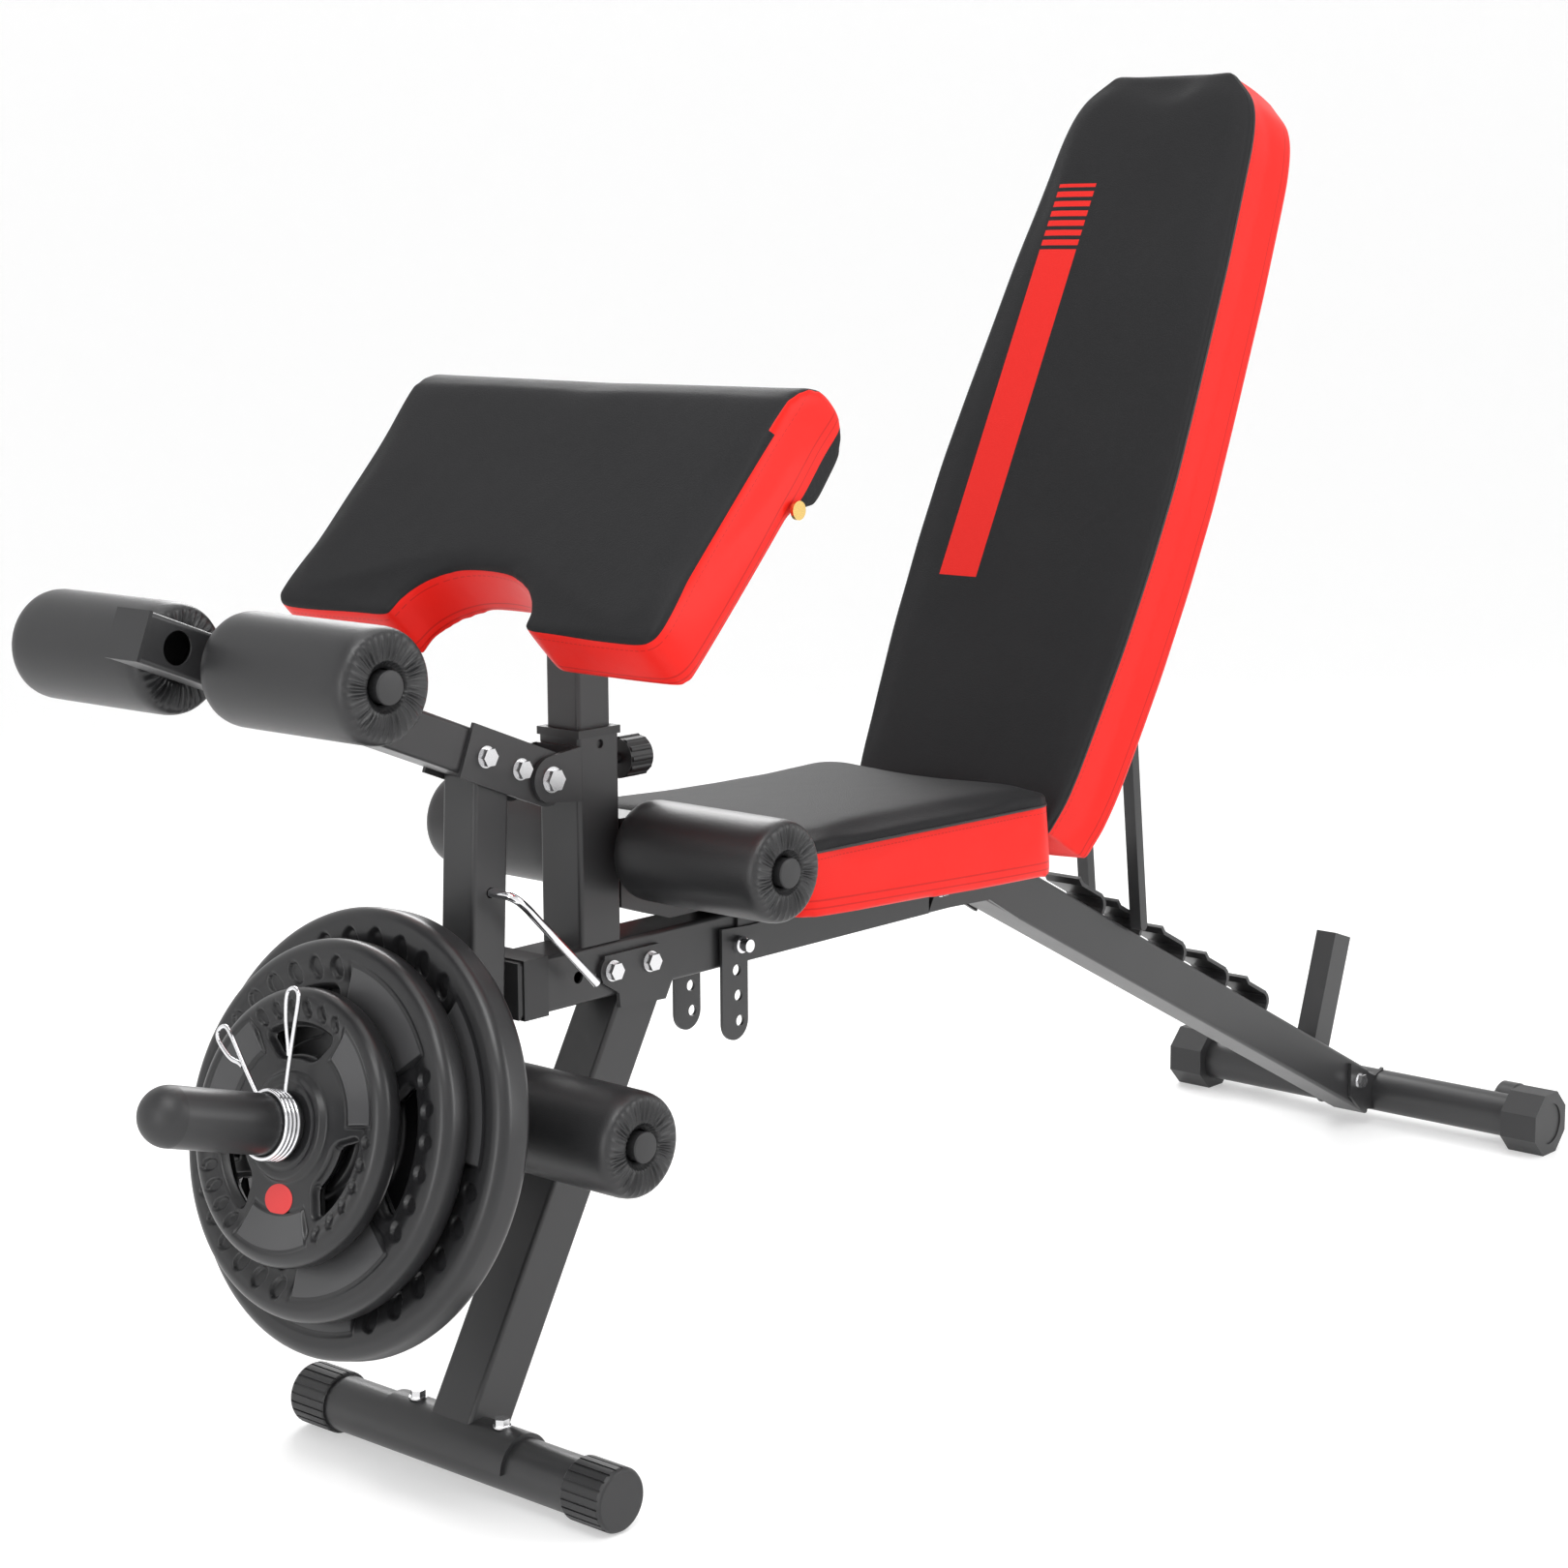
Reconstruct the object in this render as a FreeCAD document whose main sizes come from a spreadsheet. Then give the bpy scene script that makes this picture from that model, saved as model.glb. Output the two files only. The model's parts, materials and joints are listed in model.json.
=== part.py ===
import FreeCAD, Part
import math
import os
import Sketcher

# Adjustable weight bench with preacher pad, seat, backrest, leg developer and weight peg.
# Units are millimetres.  +X runs from the leg developer to the rear foot, +Y to the side,
# +Z up.  The origin is the centre of the footprint on the floor.

os.makedirs("parts", exist_ok=True)
V = FreeCAD.Vector
doc = FreeCAD.newDocument("WeightBench")
sheet = doc.addObject("Spreadsheet::Sheet", "Dims")

CELLS = [
    # floor feet
    ("foot_r", 25), ("tube_wall", 2.5), ("front_foot_x", -621), ("front_foot_z", 28),
    ("front_foot_half", 190), ("front_cap_r", 28), ("front_cap_in", 150), ("front_cap_out", 196),
    ("saddle_r", 29), ("saddle_half", 80), ("saddle_bolt_y", 53),
    ("rear_foot_x", 869), ("rear_foot_z", 36), ("rear_foot_half", 250),
    ("rear_cap_in", 209), ("rear_cap_out", 254),
    ("wheel_x", 923.6), ("wheel_z", 35), ("wheel_y", 172), ("wheel_r", 25), ("wheel_half", 12),
    # main frame
    ("box_half", 25), ("box_corner", 4), ("plate_t", 4), ("plate_in", 25.3), ("bolt_r", 5),
    ("beam_z0", 399), ("beam_z1", 449), ("beam_x0", -565), ("sleeve_x1", -530), ("sleeve_t", 1.6),
    ("front_leg_x", -602.6), ("front_leg_z", 57.5), ("front_leg_tilt", 60.67),
    ("rear_leg_x", 100.4), ("rear_leg_z", 449), ("rear_leg_tilt", 27.16),
    ("upright_x", -462), ("upright_z1", 634), ("bush_z1", 641), ("bush_half", 25.8),
    ("pivot_x", -523.5), ("pivot_z", 604), ("pivot_bolt_r", 6), ("ear_r", 20), ("ear_in", 24),
    ("ear_out", 28),
    ("recline_x", 146), ("recline_z", 458), ("tilt_x", 28), ("tilt_z", 459),
    ("hook_long", 60), ("hook_half", 23), ("hook_t", 4), ("hook_high", 19),
    ("post_tilt", 71.2), ("post_long", 129), ("post_deep", 35), ("post_half", 13),
    # preacher post and pad
    ("post_x", -462), ("inner_half", 20), ("inner_wall", 2), ("inner_z0", 470),
    ("board_tilt", 46.64), ("board_n", 955.9), ("board_u0", 119.6), ("board_u1", 372),
    ("board_thick", 62), ("roll_r", 42.5), ("board_half", 235), ("notch_u", 186.6),
    ("notch_half", 85),
    ("knob_r", 19), ("knob_x0", -414), ("knob_x1", -386), ("knob_z", 606), ("screw_r", 5),
    # leg developer
    ("arm_tilt", 21.5), ("arm_half", 20), ("arm_wall", 2), ("arm_long", 446), ("arm_cap", 3),
    ("band_half", 24), ("band_long", 100), ("band_in", 20), ("band_out", 23.5),
    ("dev_bolt_a", 35), ("dev_bolt_b", 78), ("upper_bar_s", 364), ("spare_hole_s", 415),
    ("spare_hole_r", 13.5), ("bar_r", 12.5), ("bar_half", 205.5), ("bar_gap", 0.25),
    ("drop_x", -604.5), ("drop_z", 215), ("drop_tilt", 87.23), ("lower_bar_s", 114),
    ("rod_hole_s", 300), ("rod_r", 4),
    ("roller_r", 45), ("roller_in", 34), ("roller_out", 207), ("run", 0.05),
    # weight peg and plates
    ("peg_x", -617), ("peg_z", 300), ("peg_tilt", 16), ("sleeve_s0", 62), ("sleeve_s1", 315),
    ("peg_r", 25), ("collar_s0", 198), ("collar_s1", 220), ("collar_r", 30.5),
    # seat
    ("seat_x0", -349), ("seat_x1", 50), ("seat_half", 155), ("seat_top0", 532),
    ("seat_top1", 525.5), ("seat_bot0", 466), ("seat_bot1", 446), ("wall_in", 25.5),
    ("wall_out", 28.5), ("tab_out", 31.5), ("tab_x0", -313), ("tab_x1", -278),
    ("pin_hole_r", 5.3), ("knee_x", -418), ("knee_z", 529),
    # backrest
    ("back_tilt", 63), ("prop_tilt", -83.745),
    ("rail_half", 20), ("rail_top", 6), ("rail_low", 29), ("rail_long", 735),
    ("back_thick", 86), ("prop_s", 330), ("prop_n", -6), ("prop_long", 421.2), ("prop_in", 26),
    ("prop_out", 40), ("prop_half", 6),
]
for row, (name, number) in enumerate(CELLS, start=1):
    sheet.set(f"A{row}", name)
    sheet.set(f"B{row}", str(number))
    sheet.setAlias(f"B{row}", name)
doc.recompute()


class Dim:
    """A length or angle that knows its number and the sheet expression behind it."""

    def __init__(self, value, text=None):
        self.value = float(value)
        self.text = text or repr(self.value)

    def __add__(self, other):
        other = dim(other)
        return Dim(self.value + other.value, f"({self.text} + {other.text})")

    def __sub__(self, other):
        other = dim(other)
        return Dim(self.value - other.value, f"({self.text} - {other.text})")

    def __mul__(self, other):
        other = dim(other)
        return Dim(self.value * other.value, f"({self.text} * {other.text})")

    def __radd__(self, other):
        return dim(other) + self

    def __rsub__(self, other):
        return dim(other) - self

    def __rmul__(self, other):
        return dim(other) * self

    def __neg__(self):
        return Dim(-self.value, f"(0 - {self.text})")


def dim(x):
    return x if isinstance(x, Dim) else Dim(x)


def cosd(a):
    return Dim(math.cos(math.radians(a.value)), f"cos({a.text} * 1 deg)")


def sind(a):
    return Dim(math.sin(math.radians(a.value)), f"sin({a.text} * 1 deg)")


D = {name: Dim(number, f"Dims.{name}") for name, number in CELLS}
ZERO = Dim(0)


def frame(x, z, angle):
    """Points along (s) and square to (n) a line at an angle in the side view."""
    c, s_ = cosd(angle), sind(angle)
    return lambda s, n=0: (x + c * s - s_ * n, z + s_ * s + c * n)


def bind(obj, prop, value):
    obj.setExpression(prop, dim(value).text)


def outline(sketch, points):
    """A closed polygon with every corner held from the origin."""
    points = [(dim(x), dim(z)) for x, z in points]
    base, count = sketch.GeometryCount, len(points)
    for (x0, z0), (x1, z1) in zip(points, points[1:] + points[:1]):
        sketch.addGeometry(Part.LineSegment(V(x0.value, z0.value, 0), V(x1.value, z1.value, 0)))
    for i in range(count):
        sketch.addConstraint(
            Sketcher.Constraint("Coincident", base + i, 2, base + (i + 1) % count, 1))
    for i, corner in enumerate(points):
        for kind, place in zip(("DistanceX", "DistanceY"), corner):
            at = sketch.addConstraint(
                Sketcher.Constraint(kind, -1, 1, base + i, 1, place.value))
            bind(sketch, f"Constraints[{at}]", place)


def circle(sketch, x, z, radius):
    x, z, radius = dim(x), dim(z), dim(radius)
    at = sketch.addGeometry(Part.Circle(V(x.value, z.value, 0), V(0, 0, 1), radius.value))
    for kind, place in (("DistanceX", x), ("DistanceY", z)):
        held = sketch.addConstraint(Sketcher.Constraint(kind, -1, 1, at, 3, place.value))
        bind(sketch, f"Constraints[{held}]", place)
    held = sketch.addConstraint(Sketcher.Constraint("Radius", at, radius.value))
    bind(sketch, f"Constraints[{held}]", radius)


nodes = []


def keep(obj, label):
    obj.Label = label
    nodes.append(obj)
    return obj


def new_body(label):
    body = doc.addObject("PartDesign::Body", label)
    body.AllowCompound = True
    return keep(body, label)


def new_sketch(body, tag, plane="XZ_Plane"):
    sketch = body.newObject("Sketcher::SketchObject", f"{body.Name}_{tag}")
    home = [f for f in body.Origin.OriginFeatures if f.Role == plane][0]
    sketch.AttachmentSupport = (home, [""])
    sketch.MapMode = "FlatFace"
    return sketch


def both_ways(body, kind, tag, sketch, half):
    """Pad or pocket a sketch by the same amount on both sides of its plane."""
    doc.recompute()
    feature = body.newObject(f"PartDesign::{kind}", f"{body.Name}_{tag}")
    feature.Profile = sketch
    feature.Midplane = True
    bind(feature, "Length", 2 * dim(half))
    doc.recompute()
    return feature


def drill(body, tag, holes, half=300):
    sketch = new_sketch(body, tag)
    for x, z, radius in holes:
        circle(sketch, x, z, radius)
    both_ways(body, "Pocket", f"{tag}_cut", sketch, half)


def slab(label, points, half, discs=(), holes=(), hollow=None, hollow_half=None):
    """A side-view outline as thick as 2 x half, with round ends, a hollow and cross holes."""
    body = new_body(label)
    sketch = new_sketch(body, "side")
    outline(sketch, points)
    both_ways(body, "Pad", "solid", sketch, half)
    for i, (x, z, radius) in enumerate(discs):
        sketch = new_sketch(body, f"round{i}")
        circle(sketch, x, z, radius)
        both_ways(body, "Pad", f"boss{i}", sketch, half)
    if hollow:
        sketch = new_sketch(body, "hollow")
        outline(sketch, hollow)
        both_ways(body, "Pocket", "bore", sketch, hollow_half)
    if holes:
        drill(body, "holes", holes)
    return body


def plate_pair(label, points, y_in, y_out, discs=(), holes=()):
    """Two equal plates, one on each side, between y_in and y_out."""
    xs = [dim(p[0]).value for p in points]
    zs = [dim(p[1]).value for p in points]
    margin = 60
    gap = [(min(xs) - margin, min(zs) - margin), (max(xs) + margin, min(zs) - margin),
           (max(xs) + margin, max(zs) + margin), (min(xs) - margin, max(zs) + margin)]
    return slab(label, points, y_out, discs, holes, gap, y_in)


def soften(body, radius, pick):
    """Round the edges that a test picks."""
    tip = body.Tip
    names = [f"Edge{i + 1}" for i, edge in enumerate(tip.Shape.Edges) if pick(edge)]
    if not names:
        raise RuntimeError(f"{body.Name} has no edge to round")
    feature = body.newObject("PartDesign::Fillet", f"{body.Name}_round{len(body.Group)}")
    feature.Base = (tip, names)
    bind(feature, "Radius", radius)
    doc.recompute()


def long_edge(angle, half_y, half_n, x, z):
    """Tests for the outer long edges of a box tube."""
    c, s = math.cos(math.radians(angle)), math.sin(math.radians(angle))

    def test(edge):
        if edge.Curve.TypeId != "Part::GeomLine":
            return False
        a, b = edge.Vertexes[0].Point, edge.Vertexes[-1].Point
        along = (b - a).normalize()
        mid = (a + b) * 0.5
        n = -s * (mid.x - x) + c * (mid.z - z)
        return (abs(along.x * c + along.z * s) > 0.999 and abs(abs(mid.y) - half_y) < 0.05
                and abs(abs(n) - half_n) < 0.05)
    return test


def box_tube(label, at, angle, ends, half_n, half_y, wall, holes=(), inner_ends=None):
    """A box tube along a slanted line; ends gives (s at -n, s at +n) for each end."""
    (low_a, low_b), (high_a, high_b) = ends
    h, hw = dim(half_n), dim(half_n) - wall
    points = [at(low_a, -h), at(high_a, -h), at(high_b, h), at(low_b, h)]
    over = 40
    hollow = [at(low_a - over, -hw), at(high_a + over, -hw),
              at(high_b + over, hw), at(low_b - over, hw)]
    body = slab(label, points, half_y, (), holes, hollow, dim(half_y) - wall)
    x0, z0 = at(0, 0)
    soften(body, D["box_corner"], long_edge(angle, dim(half_y).value, h.value, x0.value, z0.value))
    return body


def turned(label, profile, x=0, y=0, z=0, axis=V(1, 0, 0), angle=-90):
    """A solid spun about its own Z from (radius, height) corners, then placed."""
    body = new_body(label)
    sketch = new_sketch(body, "profile")
    outline(sketch, profile)
    doc.recompute()
    spin = body.newObject("PartDesign::Revolution", f"{body.Name}_spin")
    spin.Profile = sketch
    spin.ReferenceAxis = (sketch, ["V_Axis"])
    spin.Angle = 360
    doc.recompute()
    place(body, x, y, z, axis, angle)
    return body


def place(obj, x, y, z, axis=V(0, 0, 1), angle=0):
    angle = dim(angle)
    obj.Placement = FreeCAD.Placement(
        V(dim(x).value, dim(y).value, dim(z).value), FreeCAD.Rotation(axis, angle.value))
    for key, value in (("x", x), ("y", y), ("z", z)):
        bind(obj, f"Placement.Base.{key}", value)


def primitive(kind, name, **sizes):
    obj = doc.addObject(f"Part::{kind}", name)
    for prop, value in sizes.items():
        if prop == "Polygon":
            obj.Polygon = value
        else:
            bind(obj, prop, value)
    return obj


def cylinder(name, radius, height, base=0):
    obj = primitive("Cylinder", name, Radius=radius, Height=height)
    bind(obj, "Placement.Base.z", base)
    return obj


def hexagon(name, radius, height, base=0):
    obj = primitive("Prism", name, Circumradius=radius, Height=height, Polygon=6)
    bind(obj, "Placement.Base.z", base)
    return obj


def fused(name, shapes):
    obj = doc.addObject("Part::MultiFuse", name)
    obj.Shapes = shapes
    return obj


def grouped(label, shapes):
    obj = doc.addObject("Part::Compound", label)
    obj.Links = shapes
    return keep(obj, label)


def minus(name, base, tool):
    obj = doc.addObject("Part::Cut", name)
    obj.Base, obj.Tool = base, tool
    return obj


def bolt(name, radius, grip, x, z, y=0, upright=False):
    """A hex bolt with washers and nut; its grip runs to both sides of its place."""
    r, g = dim(radius), dim(grip)
    washer, head, nut, tail = 1.6, 6, 7, 3
    parts = [
        cylinder(f"{name}_shank", r, 2 * g + 2 * washer + nut + tail, -g - washer),
        cylinder(f"{name}_washer_a", r * 1.9, washer, -g - washer),
        cylinder(f"{name}_washer_b", r * 1.9, washer, g),
        hexagon(f"{name}_head", r * 1.65, head, -g - washer - head),
        hexagon(f"{name}_nut", r * 1.65, nut, g + washer),
    ]
    whole = fused(f"{name}_whole", parts)
    place(whole, x, y, z, V(1, 0, 0), 0 if upright else -90)
    return whole


def merged(label, *parts):
    """One node out of several finished ones."""
    for part in parts:
        if part in nodes:
            nodes.remove(part)
        if part.Label == label:
            part.Label = f"{label}_piece"
    return grouped(label, list(parts))


def mirrored_pair(label, make):
    """One node holding a left and a right copy."""
    return grouped(label, [make(side) for side in (-1, 1)])


# --- side-view lines of the slanted members -----------------------------------------
front_leg = frame(D["front_leg_x"], D["front_leg_z"], D["front_leg_tilt"])
rear_top = frame(D["rear_leg_x"], D["rear_leg_z"], -D["rear_leg_tilt"])
upper_arm = frame(D["pivot_x"], D["pivot_z"], 180 - D["arm_tilt"])
drop_arm = frame(D["drop_x"], D["drop_z"], D["drop_tilt"])
peg = frame(D["peg_x"], D["peg_z"], 180 - D["peg_tilt"])
back = frame(D["recline_x"], D["recline_z"], D["back_tilt"])

r_bolt, fit, slack = D["bolt_r"], D["run"], 0.25
x_post, h_box = D["upright_x"], D["box_half"]
outer = D["plate_in"] + D["plate_t"]

# --- front foot ---------------------------------------------------------------------
foot_x, foot_z, foot_r = D["front_foot_x"], D["front_foot_z"], D["foot_r"]
y_bolt = D["saddle_bolt_y"]


def foot_tube(name, half, z, x):
    """A round tube across the bench, open at both ends."""
    rod = cylinder(f"{name}_rod", foot_r, 2 * dim(half), -dim(half))
    core = cylinder(f"{name}_core", foot_r - D["tube_wall"], 2 * dim(half) + 2, -dim(half) - 1)
    tube = minus(f"{name}_tube", rod, core)
    place(tube, x, 0, z, V(1, 0, 0), -90)
    return tube


drills = []
for side in (-1, 1):
    hole = cylinder(f"saddle_drill{side + 1}", 4.25, 60)
    place(hole, foot_x, side * y_bolt, foot_z)
    drills.append(hole)
foot_drilled = minus("front_foot_drilled",
                     foot_tube("front_foot_raw", D["front_foot_half"], foot_z, foot_x),
                     fused("saddle_drills", drills))

cap_r, cap_in, cap_out = D["front_cap_r"], D["front_cap_in"], D["front_cap_out"]
flutes, flute_wide, flute_deep = 22, 2.0, 1.3


def front_cap(side):
    """A cup with lengthwise grip ribs, pushed over one end of the front foot."""
    cup = turned(f"front_cup{side + 1}", [
        (foot_r, cap_in), (cap_r - 0.8, cap_in), (cap_r, cap_in + 1.5), (cap_r, cap_out - 4),
        (cap_r - 1.4, cap_out - 1.2), (cap_r - 3, cap_out), (ZERO, cap_out),
        (ZERO, D["front_foot_half"]), (foot_r, D["front_foot_half"])])
    cup.Placement = FreeCAD.Placement()
    nodes.remove(cup)
    cuts = []
    for i in range(flutes):
        cut = primitive("Box", f"flute{side + 1}_{i}", Length=5, Width=flute_wide,
                        Height=cap_out - cap_in - 2)
        turn = FreeCAD.Rotation(V(0, 0, 1), 360 * i / flutes)
        corner = turn.multVec(V((cap_r - flute_deep).value, -flute_wide / 2, 0))
        cut.Placement = FreeCAD.Placement(V(corner.x, corner.y, cap_in.value - 1), turn)
        bind(cut, "Placement.Base.z", cap_in - 1)
        cuts.append(cut)
    cap = minus(f"front_cap{side + 1}", cup, fused(f"flutes{side + 1}", cuts))
    place(cap, foot_x, 0, foot_z, V(1, 0, 0), -90 * side)
    return cap


mirrored_pair("front_foot_caps", front_cap)

shell = cylinder("saddle_shell", D["saddle_r"], 2 * D["saddle_half"], -D["saddle_half"])
inner = cylinder("saddle_inner", foot_r, 2 * D["saddle_half"] + 2, -D["saddle_half"] - 1)
ring = minus("saddle_ring", shell, inner)
place(ring, foot_x, 0, foot_z, V(1, 0, 0), -90)
below = primitive("Box", "saddle_below", Length=80, Width=200, Height=40)
place(below, foot_x - 40, -100, foot_z - 40)
arch = minus("saddle_arch", ring, below)
holes = []
for side in (-1, 1):
    hole = cylinder(f"arch_drill{side + 1}", 4.25, 60)
    place(hole, foot_x, side * y_bolt, foot_z)
    holes.append(hole)
merged("front_foot", foot_drilled, minus("foot_saddle", arch, fused("arch_drills", holes)))

saddle_bolts = []
for side in (-1, 1):
    stud = fused(f"saddle_bolt{side + 1}", [
        cylinder(f"saddle_stud{side + 1}", 4, 24, -18),
        cylinder(f"saddle_washer{side + 1}", 8, 1.6, 0),
        hexagon(f"saddle_nut{side + 1}", 7, 6, 1.6)])
    place(stud, foot_x, side * y_bolt, foot_z + D["saddle_r"])
    saddle_bolts.append(stud)

# --- front leg and its gusset plates ------------------------------------------------
leg_run = D["beam_z0"] - D["front_leg_z"]
lean = math.radians(D["front_leg_tilt"].value)
lean_c, lean_s = math.cos(lean), math.sin(lean)
leg_end = leg_run * (1 / lean_s)
skew = h_box * (lean_c / lean_s)
leg = box_tube("front_leg", front_leg, D["front_leg_tilt"].value,
               ((-28 + skew, -28 - skew), (leg_end + skew, leg_end - skew)),
               h_box, h_box, D["tube_wall"])
drill(leg, "cope", [(foot_x, foot_z, D["saddle_r"])])

plate_pair("front_gussets",
           [(-463, 438.3), (-466, 414.5), (-445.5, 402), (-444, 388.5), (-386, 386),
            (-377, 402), (-394, 438.3)],
           D["plate_in"], outer, [(-454, 424, 14.3)],
           [(-454, 424, r_bolt + slack), (-406, 424, r_bolt + slack)])

# --- main beam ----------------------------------------------------------------------
z0, z1 = D["beam_z0"], D["beam_z1"]
beam_bolts = [(-454, 424), (-406, 424), (10, 424.5), (56, 424.5)]
beam_at = frame(D["beam_x0"], (z0 + z1) * 0.5, Dim(0.0))
beam_long = D["rear_leg_x"] - D["beam_x0"]
beam = box_tube("main_beam", beam_at, 0, ((3, 3), (beam_long - 24, beam_long)),
                h_box, h_box, D["tube_wall"],
                [(x, z, r_bolt + slack) for x, z in beam_bolts]
                + [(-492, 424, 5.5), (-290.5, 420, D["pin_hole_r"])])

nose = slab("beam_nose", [beam_at(0, -h_box), beam_at(3, -h_box), beam_at(3, h_box), beam_at(0, h_box)],
            h_box)
wrap = h_box + D["sleeve_t"]
wrapper = slab("beam_sleeve",
            [beam_at(6, -wrap), (D["sleeve_x1"], (z0 + z1) * 0.5 - wrap),
             (D["sleeve_x1"], (z0 + z1) * 0.5 + wrap), beam_at(6, wrap)], wrap,
            (), (), [beam_at(0, -h_box), beam_at(60, -h_box), beam_at(60, h_box),
                     beam_at(0, h_box)], h_box)
merged("beam_cap", nose, wrapper)

# --- upright, bushing and clevis ----------------------------------------------------
mast = frame(x_post, z1, Dim(90.0))
tall = D["upright_z1"] - z1
upright = box_tube("upright_raw", mast, 90, ((0, 0), (tall, tall)), h_box, h_box, D["tube_wall"])
side_hole = new_sketch(upright, "side_hole")
circle(side_hole, x_post + 1, 627, 4)
both_ways(upright, "Pocket", "side_hole_cut", side_hole, 60)
thread = cylinder("knob_thread", D["screw_r"] + fit, 30)
place(thread, x_post + 10, 0, D["knob_z"], V(0, 1, 0), 90)
nodes.remove(upright)
keep(minus("upright_tube", upright, thread), "upright")

boss = minus("knob_nut_raw", cylinder("knob_boss", 9, 6), cylinder("knob_boss_bore",
             D["screw_r"] + fit, 8, -1))
place(boss, x_post + h_box, 0, D["knob_z"], V(0, 1, 0), 90)

b, gap = D["bush_half"], D["inner_half"] + 0.3
bush = slab("bushing_raw",
            [(x_post - b, D["upright_z1"]), (x_post + b, D["upright_z1"]),
             (x_post + b, D["bush_z1"]), (x_post - b, D["bush_z1"])], b)
lining = new_sketch(bush, "lining")
core_half = h_box - D["tube_wall"] - 0.1
outline(lining, [(x_post - core_half, D["upright_z1"] - 60), (x_post + core_half,
        D["upright_z1"] - 60), (x_post + core_half, D["upright_z1"] + 1),
        (x_post - core_half, D["upright_z1"] + 1)])
both_ways(bush, "Pad", "lining_pad", lining, core_half)
way = new_sketch(bush, "way")
outline(way, [(x_post - gap, 560), (x_post + gap, 560), (x_post + gap, 660), (x_post - gap, 660)])
both_ways(bush, "Pocket", "way_cut", way, gap)
nodes.remove(bush)
relief = cylinder("bush_relief", 6, 30)
place(relief, x_post + 10, 0, D["knob_z"], V(0, 1, 0), 90)
keep(minus("bush_open", bush, relief), "upright_bushing")

px, pz = D["pivot_x"], D["pivot_z"]
face = x_post - h_box
slab("clevis", [(px, pz - D["ear_r"]), (face, 580), (face, 628), (px, pz + D["ear_r"])],
     D["ear_out"], [(px, pz, D["ear_r"])], [(px, pz, D["pivot_bolt_r"] + slack)],
     [(px - 60, 560), (face - D["plate_t"], 560), (face - D["plate_t"], 650), (px - 60, 650)],
     D["ear_in"])

# --- rear bracket, rear leg, hooks and stop post ------------------------------------
hx, hz, tx, tz = D["recline_x"], D["recline_z"], D["tilt_x"], D["tilt_z"]
plate_pair("rear_bracket",
           [(-8, 403), (90, 399), (139.5, 371), (162, 418), (hx + 14.5, hz - 7), (hx, hz + 16),
            (hx - 14, hz + 6), (122, 444), (tx + 10, 445), (tx + 11, tz), (tx - 11, tz),
            (16, 446)],
           D["plate_in"], outer, [(hx, hz, 16), (tx, tz, 11)],
           [(hx, hz, D["pivot_bolt_r"] + slack), (tx, tz, r_bolt + slack),
            (10, 424.5, r_bolt + slack), (56, 424.5, r_bolt + slack)])

leg_s = 838
rear = slab("rear_leg",
            [rear_top(0, 0), rear_top(835.3, 0), rear_top(861, -50), rear_top(1.4, -50)], h_box, (),
            [(815, 60, r_bolt + slack)],
            [rear_top(-60, -2.5), rear_top(leg_s + 60, -2.5), rear_top(leg_s + 60, -47.5),
             rear_top(-60, -47.5)], h_box - D["tube_wall"])
axis_x, axis_z = rear_top(0, -25)
soften(rear, D["box_corner"],
       long_edge(-D["rear_leg_tilt"].value, 25, 25, axis_x.value, axis_z.value))

hook_starts = [160.3, 237.8, 332.3, 428.9, 523.3]
long, t, high = D["hook_long"], D["hook_t"], D["hook_high"]
hooks = new_body("leg_hooks")
sketch = new_sketch(hooks, "side")
for start in hook_starts:
    outline(sketch, [rear_top(start + s, n) for s, n in (
        (long, 0), (long, high * 0.45), (long - 2, high * 0.68), (long - 6, high * 0.86),
        (long - 13, high), (9, high), (1, high + 4), (-1, high + 0.6), (8, high - t),
        (long - 14, high - t), (long - 9, high * 0.7), (long - 5.5, high * 0.5),
        (long - t, high * 0.3), (long - t, 0))])
both_ways(hooks, "Pad", "strip", sketch, D["hook_half"])

post = frame(Dim(740), Dim(121.8), D["post_tilt"])
deep, half_post = D["post_deep"], D["post_half"]
slab("stop_post", [rear_top(718.9, 0.2), post(D["post_long"], 0), post(D["post_long"], -deep),
                   rear_top(754.2, 0.2)], half_post, (), (),
     [post(-40, -2), post(D["post_long"] - 2, -2), post(D["post_long"] - 2, 2 - deep),
      post(-40, 2 - deep)], half_post - 2)

# --- rear foot ----------------------------------------------------------------------
rx, rz = D["rear_foot_x"], D["rear_foot_z"]
keep(foot_tube("rear_foot", D["rear_foot_half"], rz, rx), "rear_foot")

across = 36 / math.cos(math.radians(22.5))


def rear_cap(side):
    """An eight-sided cup pushed over one end of the rear foot."""
    name = f"rear_cap{side + 1}"
    block = primitive("Prism", f"{name}_block", Circumradius=across,
                      Height=D["rear_cap_out"] - D["rear_cap_in"], Polygon=8)
    block.Placement = FreeCAD.Placement(V(0, 0, 0), FreeCAD.Rotation(V(0, 0, 1), 22.5))
    bind(block, "Placement.Base.z", D["rear_cap_in"])
    socket = cylinder(f"{name}_socket", foot_r, D["rear_foot_half"] - D["rear_cap_in"] + 5,
                      D["rear_cap_in"] - 5)
    dish = cylinder(f"{name}_dish", 24, 3, D["rear_cap_out"] - 1.5)
    cup = minus(name, block, fused(f"{name}_cuts", [socket, dish]))
    place(cup, rx, 0, rz, V(1, 0, 0), -90 * side)
    return cup


mirrored_pair("rear_foot_caps", rear_cap)

foot_plates = plate_pair("foot_plates",
                         [(797, 84), (852, 58), (872, 64), (872, 14), (822, 22), (797, 44)],
           D["plate_in"], outer, (),
           [(815, 60, r_bolt + slack), (rx, rz, foot_r)])

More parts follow.
